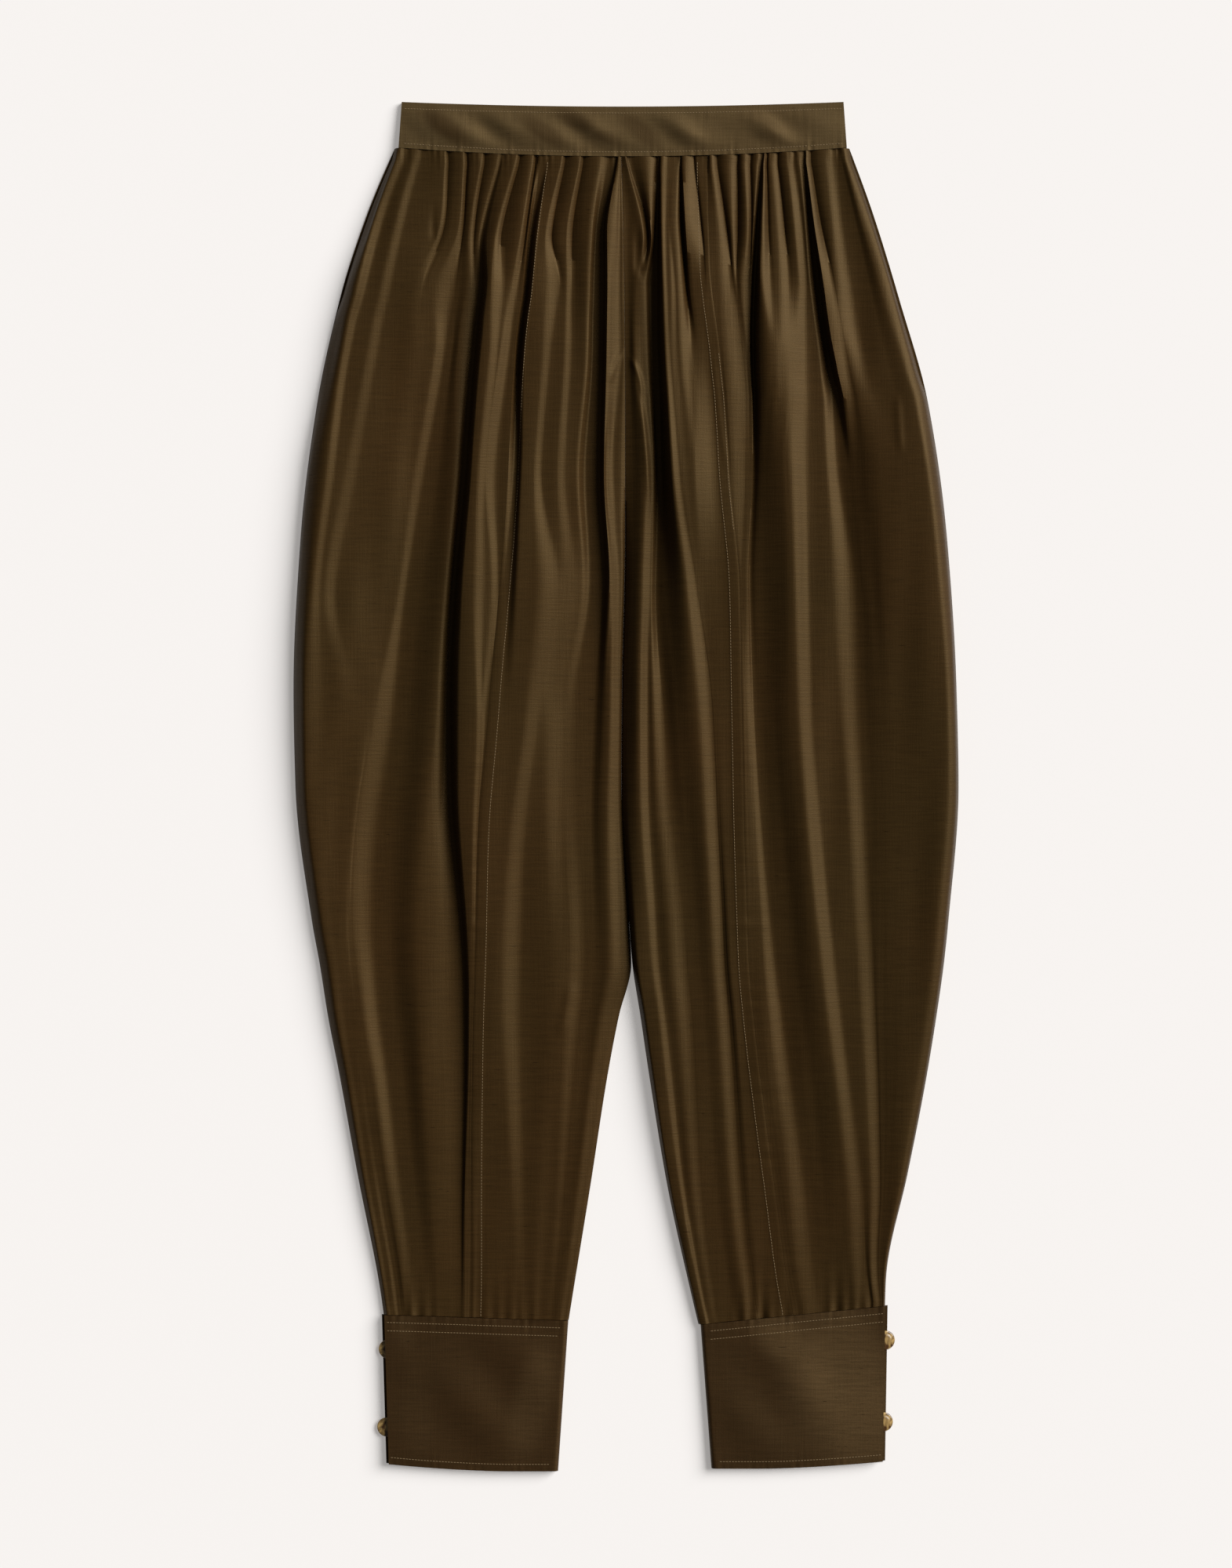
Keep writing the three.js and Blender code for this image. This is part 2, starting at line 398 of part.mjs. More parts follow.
// A closed wall from two grids of points with the same rows and columns, rows running down the garment
function wallGeometry(top, bottom) {
  const rows = top.length;
  const cols = top[0].length;
  const points = [...top.flat(), ...bottom.flat()];
  const at = (r, c) => r * cols + c;
  const under = (r, c) => rows * cols + r * cols + c;
  const index = [];
  const quad = (a, b, c, d) => index.push(a, b, c, a, c, d);
  for (let r = 0; r < rows - 1; r += 1) {
    for (let c = 0; c < cols - 1; c += 1) {
      quad(at(r, c), at(r + 1, c), at(r + 1, c + 1), at(r, c + 1));
      quad(under(r, c), under(r, c + 1), under(r + 1, c + 1), under(r + 1, c));
    }
    quad(at(r, 0), under(r, 0), under(r + 1, 0), at(r + 1, 0));
    quad(at(r, cols - 1), at(r + 1, cols - 1), under(r + 1, cols - 1), under(r, cols - 1));
  }
  for (let c = 0; c < cols - 1; c += 1) {
    quad(at(0, c), at(0, c + 1), under(0, c + 1), under(0, c));
    quad(at(rows - 1, c), under(rows - 1, c), under(rows - 1, c + 1), at(rows - 1, c + 1));
  }
  const geometry = new THREE.BufferGeometry();
  geometry.setAttribute("position", new THREE.Float32BufferAttribute(points.flat(), 3));
  geometry.setIndex(index);
  geometry.computeVertexNormals();
  return geometry;
}

// Turns a grid whose columns run towards -X into one whose columns run towards +X
const facingUp = (grid) => {
  const [first] = grid;
  return first[0][0] < first[first.length - 1][0] ? grid : grid.map((row) => [...row].reverse());
};

// How far the front's side edge stands back: a seam gap, or more where the pocket opens
function sideSet(level, pocketEnd) {
  const below = smoothStep(level, pocketEnd, pocketEnd + POCKET.lowFade);
  const above = smoothStep(level, POCKET.top, POCKET.top + POCKET.topFade);
  return SEAM_GAP + POCKET.set * below * (1 - above);
}

// Keeps the lines of one row in order, so that the wall never crosses itself
function inOrder(shares) {
  const placed = [...shares];
  const last = placed.length - 1;
  for (let i = 1; i <= last; i += 1) placed[i] = Math.max(placed[i], placed[i - 1] + LEAST_SHARE);
  placed[last] = 1;
  for (let i = last - 1; i > 0; i -= 1) placed[i] = Math.min(placed[i], placed[i + 1] - LEAST_SHARE);
  return placed;
}

// One front half as a grid of points on the cloth's top face, a column for each fold line
function frontGrid(folds, keys, cuff, pocketEnd) {
  const lines = folds.map((fold) => ({
    share: smoothCurve(LEVELS, fold.share),
    height: smoothCurve(LEVELS, fold.height),
  }));
  return ROW_LEVELS.map((level) => {
    const inner = outline[keys.inner](level);
    const guide = outline[keys.guide](level);
    const outer = outline[keys.outer](level);
    const edge = outer + Math.sign(inner - outer) * sideSet(level, pocketEnd);
    const shares = inOrder(lines.map((line) => line.share(level)));
    return lines.map((line, i) => {
      const share = shares[i];
      const target = guide + (inner - guide) * share ** GUIDE_POWER;
      const x = edge + (target - edge) * share;
      return [x, rowY(level, x, cuff), line.height(level)];
    });
  });
}

// The cloth's underside: the wall is thicker upright where the cloth is steep, and stays above the back
function underGrid(top) {
  return top.map((row) => row.map(([x, y, z], c) => {
    const before = row[Math.max(c - 1, 0)];
    const after = row[Math.min(c + 1, row.length - 1)];
    const slope = Math.abs(after[2] - before[2]) / Math.max(Math.abs(after[0] - before[0]), LEAST_RUN);
    const upright = Math.min(CLOTH * Math.hypot(1, slope), STEEPEST_WALL);
    return [x, y, Math.max(z - upright, FLOOR_WALL)];
  }));
}

function addFront(side, folds, keys, cuff, pocketEnd) {
  const grid = frontGrid(folds, keys, cuff, pocketEnd);
  const seam = folds.findIndex((fold) => fold.line === "seam");
  const part = (from, to, edgeColumn, shift) => grid.map((row) => {
    const cells = row.slice(from, to).map((p) => [...p]);
    cells[edgeColumn][0] += shift;
    return cells;
  });
  const inward = Math.sign(outline[keys.inner](0) - outline[keys.outer](0));
  const outerTop = part(0, seam + 1, seam, -inward * SEAM_GAP / 2);
  const innerTop = part(seam, folds.length, 0, inward * SEAM_GAP / 2);
  for (const [name, top] of [["front_outer_" + side, outerTop], ["front_inner_" + side, innerTop]]) {
    const facing = facingUp(top);
    addPiece(name, wallGeometry(facing, underGrid(facing)), CLOTH_LOOK);
  }
}

function addBack(side, keys, cuff) {
  const grid = ROW_LEVELS.map((level) => {
    const inner = outline[keys.inner](level);
    const outer = outline[keys.outer](level);
    return Array.from({ length: BACK_COLUMNS }, (_, c) => {
      const x = outer + (inner - outer) * c / (BACK_COLUMNS - 1);
      return [x, rowY(level, x, cuff), CLOTH];
    });
  });
  const top = facingUp(grid);
  addPiece("back_" + side, wallGeometry(top, top.map((row) => row.map(([x, y]) => [x, y, 0]))), BACK_LOOK);
}

// A waistband half: a long wall between the seam and the top edge, with soft slanting waves on the front
function addWaistband(name, low, high, wave, rise) {
  const { columns, rows } = BAND_GRID;
  const top = Array.from({ length: rows }, (_, r) => Array.from({ length: columns }, (_, c) => {
    const v = r / (rows - 1);
    const across = 2 * c / (columns - 1) - 1;
    const x = (BAND.left + BAND.right) / 2 + across * (halfWaist + BAND.flare * v);
    const bend = across ** 2;
    const upper = BAND.top + BAND.topRise * bend;
    const y = upper + (BAND.bottom + BAND.bottomRise * bend - upper) * v;
    const slack = Math.sin(Math.PI * v) * Math.min(1, BAND_WAVE.fade * (1 - Math.abs(across)));
    const phase = (x + BAND_WAVE.slant * (y - BAND.bottom)) / BAND_WAVE.length;
    return [x, y, high + rise * v + wave * slack * (1 + Math.sin(2 * Math.PI * phase))];
  }));
  const under = top.map((row) => row.map(([x, y, z]) => [x, y, low + (z - high)]));
  addPiece(name, wallGeometry(top, under), CLOTH_LOOK);
}

// A cuff is one band wrapped round the leg's end: its section goes from the buttoned edge on top, round the
// inner side, and back underneath to the underlap. The radius is from the middle of the hollow to a face.
function cuffSection(cuff, v) {
  const out = cuff.outTop + (cuff.outBottom - cuff.outTop) * v;
  const inn = cuff.inTop + (cuff.inBottom - cuff.inTop) * v;
  const across = Math.sign(inn - out);
  const radius = CUFF.wall + CUFF.hollow / 2;
  const loop = (wall) => {
    const bend = inn - across * radius;
    const flat = Array.from({ length: CUFF.steps - 1 }, (_, i) => out + (bend - out) * (i + 1) / CUFF.steps);
    const round = Array.from({ length: CUFF.steps + 1 }, (_, i) => Math.PI * (0.5 - i / CUFF.steps));
    return [
      [out, radius + wall],
      ...flat.map((x) => [x, radius + wall]),
      ...round.map((angle) => [bend + across * wall * Math.cos(angle), radius + wall * Math.sin(angle)]),
      ...flat.reverse().map((x) => [x, radius - wall]),
      [out - across * CUFF.underlap, radius - wall],
    ];
  };
  return { outside: loop(radius), inside: loop(CUFF.hollow / 2) };
}

function addCuff(name, cuff) {
  const grids = { outside: [], inside: [] };
  for (const v of CUFF.rows) {
    const section = cuffSection(cuff, v);
    for (const face of ["outside", "inside"]) {
      grids[face].push(section[face].map(([x, z]) => {
        const seam = cuffSeam(cuff, x);
        return [x, seam + (cuff.hem - seam) * v, z];
      }));
    }
  }
  const order = (grid) => (cuff.side < 0 ? grid : grid.map((row) => [...row].reverse()));
  addPiece(name, wallGeometry(order(grids.outside), order(grids.inside)), CLOTH_LOOK);
}

// A round domed button, its axis turned outwards from upright by its tilt
function addButton({ name, x, y, z, tilt }) {
  const { radius, rim, dome, back } = BUTTON;
  const profile = [
    new THREE.Vector2(0, -back),
    new THREE.Vector2(radius * 0.72, -back),
    new THREE.Vector2(radius * 0.94, -back * 0.55),
    new THREE.Vector2(radius, 0),
    new THREE.Vector2(radius * 0.95, rim * 0.7),
    new THREE.Vector2(radius * 0.8, rim),
    new THREE.Vector2(radius * 0.5, rim + (dome - rim) * 0.7),
    new THREE.Vector2(0, dome),
  ];
  const button = addPiece(name, new THREE.LatheGeometry(profile, BUTTON.sides), BUTTON_LOOK);
  const upright = new THREE.Quaternion().setFromAxisAngle(new THREE.Vector3(1, 0, 0), Math.PI / 2);
  const turn = THREE.MathUtils.degToRad(tilt);
  const outward = new THREE.Quaternion().setFromAxisAngle(new THREE.Vector3(0, 1, 0), turn);
  button.quaternion.copy(outward.multiply(upright));
  button.position.set(x, y, z);
}

addWaistband("waistband_back", 0, BAND_CLOTH, 0, 0);
addWaistband("waistband_front", BAND_CLOTH + SEAM_GAP, 2 * BAND_CLOTH + SEAM_GAP, BAND_WAVE.height, BAND_RISE);
addBack("left", LEFT, CUFFS.left);
addBack("right", RIGHT, CUFFS.right);
addFront("left", LEFT_FOLDS, LEFT, CUFFS.left, POCKET.left);
addFront("right", RIGHT_FOLDS, RIGHT, CUFFS.right, POCKET.right);
addCuff("cuff_left", CUFFS.left);
addCuff("cuff_right", CUFFS.right);
BUTTON_PLACES.forEach(addButton);

export default pants;
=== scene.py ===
import math

import bpy
import numpy as np
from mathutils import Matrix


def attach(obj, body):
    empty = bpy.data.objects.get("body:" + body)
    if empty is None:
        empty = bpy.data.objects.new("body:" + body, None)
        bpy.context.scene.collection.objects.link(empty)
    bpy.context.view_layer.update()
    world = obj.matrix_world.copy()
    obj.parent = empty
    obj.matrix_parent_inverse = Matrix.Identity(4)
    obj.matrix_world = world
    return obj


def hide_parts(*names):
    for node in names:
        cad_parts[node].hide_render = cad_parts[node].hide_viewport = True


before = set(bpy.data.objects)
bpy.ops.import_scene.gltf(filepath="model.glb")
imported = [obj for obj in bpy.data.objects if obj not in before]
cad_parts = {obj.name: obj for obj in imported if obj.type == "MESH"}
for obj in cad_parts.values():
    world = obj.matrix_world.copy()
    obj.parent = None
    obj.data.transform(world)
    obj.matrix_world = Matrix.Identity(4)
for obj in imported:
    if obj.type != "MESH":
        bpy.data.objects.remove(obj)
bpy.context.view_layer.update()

# Harem pants laid flat, face up. The tables are in millimetres, and every mesh is made in metres.
MM = 0.001

# Cloth and seam sizes, as in the solids
CLOTH = 1.4
BAND_CLOTH = 1.9
SEAM_GAP = 0.3
FLOOR_WALL = CLOTH + SEAM_GAP
# The fronts' wall where it lies level, and the most that it measures upright where it is steep
SHELL, STEEPEST_SHELL = 0.9, 2.6

BAND = dict(top=532.5, bottom=493.2, top_rise=3.6, bottom_rise=6.8, left=-175.5, right=170.5, flare=2.4)
CUFFS = dict(
    left=dict(
        out_top=-189, in_top=-45, out_bottom=-185.5, in_bottom=-53, top=-414, top_in=-418.5, hem=-536.1,
    ),
    right=dict(
        out_top=203, in_top=58.5, out_bottom=201, in_bottom=67, top=-407, top_in=-421.5, hem=-534,
    ),
)
CUFF = dict(wall=1.8, hollow=3.6, underlap=2.2)
BUTTON = dict(radius=7.5, rim=0.9, dome=1.6, back=0.8)

# Outline: level, left side, left inner edge, left guide for the folds, right inner edge, right side
OUTLINE_COLUMNS = ("y", "left_out", "left_in", "left_guide", "right_in", "right_out")
OUTLINE = [
    (500, -178, -3.8, -3.8, -3.2, 172.5),
    (440, -204, -2.6, -2.6, -2.0, 195),
    (385, -223, -1.4, -1.4, -0.8, 213),
    (300, -242, -0.9, -0.9, -0.3, 237),
    (194, -255, -0.9, -0.9, -0.3, 251.8),
    (77, -260.5, -3.2, -3.2, -2.6, 259.2),
    (0, -259, -3.7, -3.7, -3.1, 260.8),
    (-106, -246, 2.2, -1.2, 2.8, 252.8),
    (-139, -240, 4.0, -3.4, 5.4, 249.3),
    (-180, -233.5, -5.7, -8.2, 11.7, 243.5),
    (-226, -224.5, -14.5, -15, 18.5, 236),
    (-306, -210, -27, -27, 31.7, 220.8),
    (-397, -192.5, -42, -42, 52.5, 203.8),
    (-422, -189, -46, -46, 58.5, 203),
]

# Levels of the fold tables, from the waist seam down to the cuff seam
LEVELS = (492, 432, 392, 340, 248, 156, 63, -152, -411)
# Folds stay at least this share of the half apart
LEAST_SHARE = 0.0018

# Fold lines from the side seam to the centre. At each level: how far in the line runs, in thousandths of the
# half's width, then how high it lies
LEFT_FOLDS = [
    ("side edge", (0, 0, 0, 0, 0, 0, 0, 0, 0),
     (3.2, 3.2, 3.2, 3.2, 3.2, 3.2, 3.2, 3.2, 3.2)),
    ("side roll", (7, 17, 11, 20, 9, 9, 12, 8, 7),
     (5, 7.6, 8.8, 8.8, 9.8, 9.9, 9.2, 6.3, 4.6)),
    ("rim a", (19, 32, 44, 54, 61, 47, 41, 36, 21),
     (7, 11.6, 14.8, 15.3, 17.3, 17.4, 16.2, 11.3, 6.6)),
    ("rim a foot", (56, 70, 79, 84, 92, 75, 93, 63, 42),
     (5.6, 8.9, 11.8, 12.6, 14.8, 15, 14.4, 10.6, 6)),
    ("rim b", (87, 112, 124, 132, 119, 87, 136, 81, 58),
     (6.4, 9.5, 12.2, 12.8, 14.6, 14.4, 13.2, 10.4, 6)),
    ("rim b foot", (125, 156, 171, 178, 165, 124, 188, 97, 83),
     (5.2, 7.3, 9.6, 10.2, 11.8, 11.4, 11.6, 10.2, 4.9)),
    ("pleat 1", (219, 285, 249, 273, 268, 184, 221, 104, 96),
     (6.6, 7.3, 9.4, 9.6, 9.4, 10.6, 10.6, 10, 4.9)),
    ("pleat 1 foot", (236, 306, 280, 325, 322, 286, 244, 114, 106),
     (5.2, 6.1, 9, 8.8, 7.6, 7, 10, 9.8, 5.2)),
    ("ridge c, pleat 2", (302, 360, 321, 360, 337, 310, 254, 123, 122),
     (6.6, 6.1, 8.8, 8.4, 7.2, 6.4, 9.6, 9.6, 6)),
    ("pleat 2 foot", (319, 381, 393, 398, 373, 336, 308, 185, 180),
     (5.2, 4.7, 4.4, 4.8, 4.4, 4.4, 4.4, 5, 5)),
    ("hollow d", (336, 390, 405, 419, 410, 377, 348, 235, 239),
     (5.8, 5.1, 4.6, 4.8, 4.6, 5.1, 5.2, 5.4, 5)),
    ("ridge d, pleat 3", (385, 405, 436, 441, 460, 447, 435, 326, 302),
     (6.6, 5.8, 5.8, 6.7, 7.3, 9.2, 10.2, 10.2, 5.2)),
    ("pleat 3 foot", (398, 426, 458, 470, 475, 461, 452, 394, 365),
     (5.2, 5, 5, 5.4, 6.4, 8, 8.5, 8.4, 5)),
    ("valley 1, pleat 4", (454, 444, 469, 482, 487, 473, 463, 451, 399),
     (6.6, 5.2, 4.2, 4.2, 4.2, 4.2, 4.2, 6.4, 4.9)),
    ("valley 1 foot", (471, 456, 483, 493, 497, 482, 475, 477, 416),
     (5.2, 4.2, 4.2, 4.2, 4.2, 4.2, 4.2, 6.2, 5)),
    ("valley 1 edge", (481, 478, 510, 519, 519, 506, 503, 493, 428),
     (5.8, 8, 15.4, 17.2, 18.4, 18.8, 18.8, 12.6, 5.4)),
    ("pleat 5", (537, 511, 524, 548, 539, 542, 559, 497, 437),
     (6.6, 10.4, 16.4, 18, 19.2, 19.8, 20, 12.9, 5.6)),
    ("pleat 5 foot", (554, 532, 568, 574, 561, 573, 574, 501, 447),
     (5.2, 8.8, 12.8, 15.6, 17, 17, 18.2, 13, 5.4)),
    ("ridge e, pleat 6", (609, 604, 593, 584, 565, 594, 577, 505, 456),
     (6.6, 11, 12.4, 15.2, 16.6, 16.6, 17.8, 13, 5.3)),
    ("pleat 6 foot", (623, 625, 621, 615, 599, 616, 593, 509, 462),
     (5.2, 8.8, 10, 11.6, 13.2, 14.4, 16.2, 13, 5.1)),
    ("seam", (632, 632, 635, 631, 634, 620, 597, 513, 470),
     (5.4, 9, 10, 11.8, 13.8, 14.3, 16.2, 13, 5.1)),
    ("valley 2", (647, 642, 647, 641, 651, 632, 613, 526, 483),
     (5.7, 4.4, 4.4, 4.6, 10.5, 14, 16.1, 13, 5.4)),
    ("valley 2 foot", (668, 648, 650, 645, 661, 651, 637, 552, 504),
     (5.8, 4.4, 4.4, 4.6, 10.4, 13.6, 16, 13, 4.9)),
    ("valley 2 edge", (689, 670, 672, 665, 676, 673, 665, 578, 554),
     (6, 10, 12.4, 13, 15.4, 17.4, 16, 13.1, 5.1)),
    ("ridge f, pleat 7", (737, 700, 716, 721, 713, 728, 706, 599, 702),
     (6.6, 10, 11.6, 12.8, 15.2, 17.2, 15.6, 13.1, 5.4)),
    ("pleat 7 foot", (754, 727, 772, 757, 742, 800, 755, 672, 756),
     (5.2, 7.8, 8.4, 11.2, 13.2, 12.4, 11.8, 9.4, 5.2)),
    ("ridge g, pleat 8", (817, 781, 789, 794, 784, 809, 767, 755, 798),
     (6.6, 9.4, 8.6, 11.4, 13.4, 11.8, 11, 10, 5.5)),
    ("pleat 8 foot", (834, 805, 814, 826, 816, 854, 817, 810, 845),
     (5.3, 7.2, 7, 9.6, 11.6, 8.6, 7, 9.6, 4.9)),
    ("ridge h, pleat 9", (903, 880, 875, 876, 853, 874, 831, 823, 882),
     (6.6, 9.8, 9.8, 10.8, 11.3, 7.4, 6.2, 9.6, 5)),
    ("valley 3", (945, 896, 891, 891, 874, 895, 862, 869, 904),
     (4.6, 4.2, 4.2, 4.2, 4.3, 4.2, 4.8, 7.6, 5)),
    ("valley 3 foot", (979, 925, 924, 924, 921, 938, 922, 898, 920),
     (4.6, 4.2, 4.2, 4.2, 4.2, 4.2, 4.6, 7.6, 5.2)),
    ("centre fold", (987, 940, 941, 940, 935, 955, 946, 919, 935),
     (6.8, 13.4, 13.8, 13.6, 13.4, 11.6, 8.6, 8.2, 5.4)),
    ("ridge i", (992.5, 970, 962, 960, 942, 965, 963, 938, 952),
     (6.8, 11.4, 11.2, 11, 11, 10.4, 9.4, 9, 5.4)),
    ("ridge i foot", (996, 991, 987, 989, 962, 984, 987, 971, 979),
     (6.2, 8.8, 8.6, 8, 8.6, 7.6, 6.2, 6.4, 4.4)),
    ("inner roll", (998, 997, 993, 995, 986, 995, 994, 986, 992),
     (6.2, 8.8, 8.6, 7.9, 8.4, 7, 5.4, 5.2, 4)),
    ("centre front", (1000, 1000, 1000, 1000, 1000, 1000, 1000, 1000, 1000),
     (5.6, 8.6, 8.2, 7.6, 7.2, 3.6, 3.2, 3.2, 3.2)),
]
RIGHT_FOLDS = [
    ("side edge", (0, 0, 0, 0, 0, 0, 0, 0, 0),
     (3.2, 3.2, 3.2, 3.2, 3.2, 3.2, 3.2, 3.2, 3.2)),
    ("side roll", (12, 15, 13, 19, 14, 12, 11, 12, 4),
     (5, 8.5, 10, 12, 14, 14, 13.5, 10, 5)),
    ("rim", (26, 50, 51, 52, 49, 45, 38, 46, 9),
     (6.4, 10.4, 12, 14.6, 20, 19.4, 17.6, 13, 5.7)),
    ("shelf", (43, 77, 91, 103, 123, 143, 133, 119, 13),
     (5.4, 8.6, 9.8, 12.6, 19.2, 18, 15.2, 11, 5.5)),
    ("ridge a foot", (60, 129, 155, 173, 192, 211, 200, 157, 16),
     (5, 7.6, 8.8, 10.8, 17.4, 15.6, 13.4, 9.8, 5.4)),
    ("ridge a", (109, 179, 214, 230, 232, 239, 228, 177, 19),
     (6.8, 10.6, 12.2, 14, 15, 13.2, 12, 9.2, 5.3)),
    ("pleat 1 foot", (170, 213, 222, 238, 256, 256, 246, 192, 21),
     (5.8, 9.2, 12.2, 14, 13, 12, 11, 8.6, 5.3)),
    ("pleat 1", (191, 243, 261, 279, 280, 270, 262, 205, 24),
     (6.6, 12, 15.2, 16.4, 11.4, 10.8, 10, 8.2, 5.3)),
    ("valley 1", (197, 251, 273, 295, 295, 279, 274, 213, 26),
     (4.9, 4.2, 4.2, 5, 10.2, 10, 9.2, 7.9, 5.2)),
    ("valley 1 foot", (203, 256, 284, 302, 322, 298, 295, 223, 29),
     (4.9, 4.4, 4.6, 5.4, 8.8, 9, 8.6, 7.4, 5.2)),
    ("ridge c", (222, 280, 311, 331, 363, 366, 354, 277, 62),
     (5.9, 7.2, 8, 9.6, 12.2, 13, 12.2, 10.4, 6.6)),
    ("ridge d foot", (243, 289, 320, 367, 418, 434, 431, 338, 78),
     (5.3, 6.8, 7.8, 10, 12.6, 13.2, 12.4, 10.2, 5.3)),
    ("ridge d, pleat 2", (277, 326, 355, 411, 484, 485, 481, 393, 154),
     (6.8, 9.6, 10.2, 14, 18.4, 18, 17, 14.6, 6.6)),
    ("pleat 3 lower foot", (315, 360, 384, 435, 496, 499, 500, 413, 187),
     (5.2, 7.6, 10.2, 16.4, 18.4, 17.7, 16.4, 14, 6.2)),
    ("pleat 3 lower", (349, 394, 425, 460, 513, 523, 523, 438, 228),
     (6, 9.8, 13, 18.4, 17.6, 16, 14.6, 12.4, 5.8)),
    ("pleat 3 foot", (360, 425, 454, 482, 533, 549, 546, 468, 266),
     (6, 9.8, 13.2, 19.6, 16, 13.8, 12.2, 10.2, 5.5)),
    ("pleat 3", (372, 452, 490, 503, 555, 575, 569, 494, 295),
     (6.9, 12.6, 16.4, 20, 13.6, 11.4, 10.2, 9, 5.3)),
    ("valley 2 edge", (376, 458, 498, 542, 577, 603, 587, 519, 320),
     (6.2, 12, 15.8, 16, 10.6, 9.2, 9, 7.8, 5.2)),
    ("valley 2", (380, 465, 512, 554, 588, 615, 603, 534, 345),
     (4.9, 4.2, 4.2, 5, 7.4, 8, 8.4, 7.2, 5.2)),
    ("valley 2 foot", (384, 471, 519, 559, 592, 618, 608, 539, 357),
     (4.9, 4.2, 4.2, 5, 7.2, 8, 8.4, 7.2, 5.3)),
    ("valley 2 lip", (401, 488, 530, 569, 595, 624, 616, 575, 437),
     (6.2, 8, 7.6, 8.8, 9.6, 12.2, 9.6, 10.2, 7.2)),
    ("pleat 4 foot", (432, 493, 535, 573, 601, 627, 620, 586, 450),
     (5.2, 7.6, 7.6, 8.8, 9.6, 12.3, 10.1, 10.4, 7)),
    ("pleat 4", (467, 513, 567, 580, 607, 630, 624, 596, 458),
     (6.8, 9.2, 9.2, 8.9, 9.6, 12.4, 10.6, 10.5, 6.8)),
    ("pleat 5 foot", (490, 547, 581, 586, 614, 635, 628, 604, 466),
     (5.2, 6.6, 8.6, 9, 9.6, 12.4, 11, 10.5, 6.6)),
    ("pleat 5", (535, 572, 588, 591, 618, 639, 632, 611, 475),
     (6.8, 8.6, 8.6, 9.1, 9.6, 12.4, 11.3, 10.5, 6.5)),
    ("pleat 6 foot", (583, 588, 596, 596, 622, 642, 636, 616, 481),
     (5.3, 7, 8.6, 9.2, 9.7, 12.4, 11.6, 10.5, 6.4)),
    ("pleat 6", (613, 625, 645, 661, 663, 646, 640, 621, 487),
     (6.8, 9.6, 12, 13.6, 12, 12.4, 11.8, 10.5, 6.4)),
    ("seam", (623, 662, 677, 672, 670, 649, 644, 626, 495),
     (5, 9.2, 12, 13.6, 12.2, 12.4, 11.8, 10.5, 6.4)),
    ("pleat 7 foot", (683, 689, 700, 715, 715, 692, 693, 667, 600),
     (5.3, 9, 12, 13.4, 13.6, 12.4, 11.4, 10.2, 6)),
    ("pleat 7", (735, 753, 758, 745, 750, 733, 709, 683, 641),
     (6.8, 13, 12, 13.6, 16.4, 13.2, 11.4, 10.2, 6)),
    ("pleat 7 edge", (743, 766, 770, 766, 770, 752, 721, 693, 662),
     (4.9, 5.2, 7.6, 13.6, 18, 13.5, 11.4, 9.4, 5.9)),
    ("ridge j foot", (750, 783, 784, 781, 780, 762, 725, 696, 673),
     (4.9, 11.4, 12.9, 14.6, 18.8, 13.6, 11.4, 8.8, 5.6)),
    ("ridge j", (766, 803, 805, 811, 790, 768, 728, 699, 679),
     (5.1, 12.3, 14.5, 17.2, 19, 13.7, 11.4, 8.5, 5.5)),
    ("ridge m foot", (776, 813, 812, 820, 805, 773, 730, 701, 683),
     (5.2, 12.3, 14.5, 17.2, 19.2, 13.8, 11.4, 8.3, 5.4)),
    ("ridge m", (787, 822, 829, 839, 822, 778, 731, 703, 687),
     (5.3, 12.4, 15.6, 18, 19.8, 13.9, 11.3, 8.1, 5.4)),
    ("ridge e foot", (797, 830, 841, 845, 830, 782, 733, 705, 693),
     (5.4, 12.4, 15.6, 18.1, 20, 14, 11.3, 8, 5.4)),
    ("ridge e, pleat 8", (829, 850, 858, 862, 852, 815, 777, 744, 742),
     (6.9, 13.6, 16.6, 19, 22, 17.6, 15.6, 10.8, 6.6)),
    ("valley 3", (836, 865, 880, 889, 886, 877, 840, 787, 808),
     (4.9, 4.2, 4.2, 4.2, 4.4, 8.4, 10.5, 9.4, 5.2)),
    ("valley 3 foot", (841, 874, 900, 905, 896, 906, 877, 820, 879),
     (4.9, 4.2, 4.2, 4.2, 4.2, 5.4, 7.2, 9.1, 5.2)),
    ("pleat 9 foot", (847, 879, 906, 910, 902, 909, 882, 828, 891),
     (5, 7.6, 4.4, 4.4, 4.8, 6.2, 7.4, 9, 5.2)),
    ("pleat 9", (907, 891, 920, 922, 911, 918, 910, 879, 925),
     (7.4, 10.4, 8, 8, 9.8, 9.8, 10.2, 11.4, 5.8)),
    ("ridge n foot", (974, 903, 938, 944, 916, 924, 922, 912, 942),
     (4.7, 5.4, 9.2, 9.2, 10.2, 10.2, 9.4, 10.2, 5.8)),
    ("ridge n", (984, 926, 958, 968, 939, 950, 950, 943, 963),
     (7.2, 10.4, 9.6, 10.2, 13.2, 13.2, 12.6, 12.6, 7)),
    ("inner roll", (993, 985, 990, 987, 979, 982, 983, 985, 992),
     (6.4, 8.4, 8.2, 8, 8.8, 8.4, 7, 12, 6.2)),
    ("centre front", (1000, 1000, 1000, 1000, 1000, 1000, 1000, 1000, 1000),
     (5.8, 8.6, 8.2, 7.6, 6.6, 3.6, 3.2, 3.2, 3.2)),
]

# The fronts and backs run between these levels, and above and below the next two they follow the curved seams
TOP_LEVEL, BOTTOM_LEVEL = 492.6, -416
WAIST_SHIFT_FROM, CUFF_SHIFT_FROM = 340, -260
# How late the fold lines leave the guide for the inner edge
GUIDE_POWER = 8
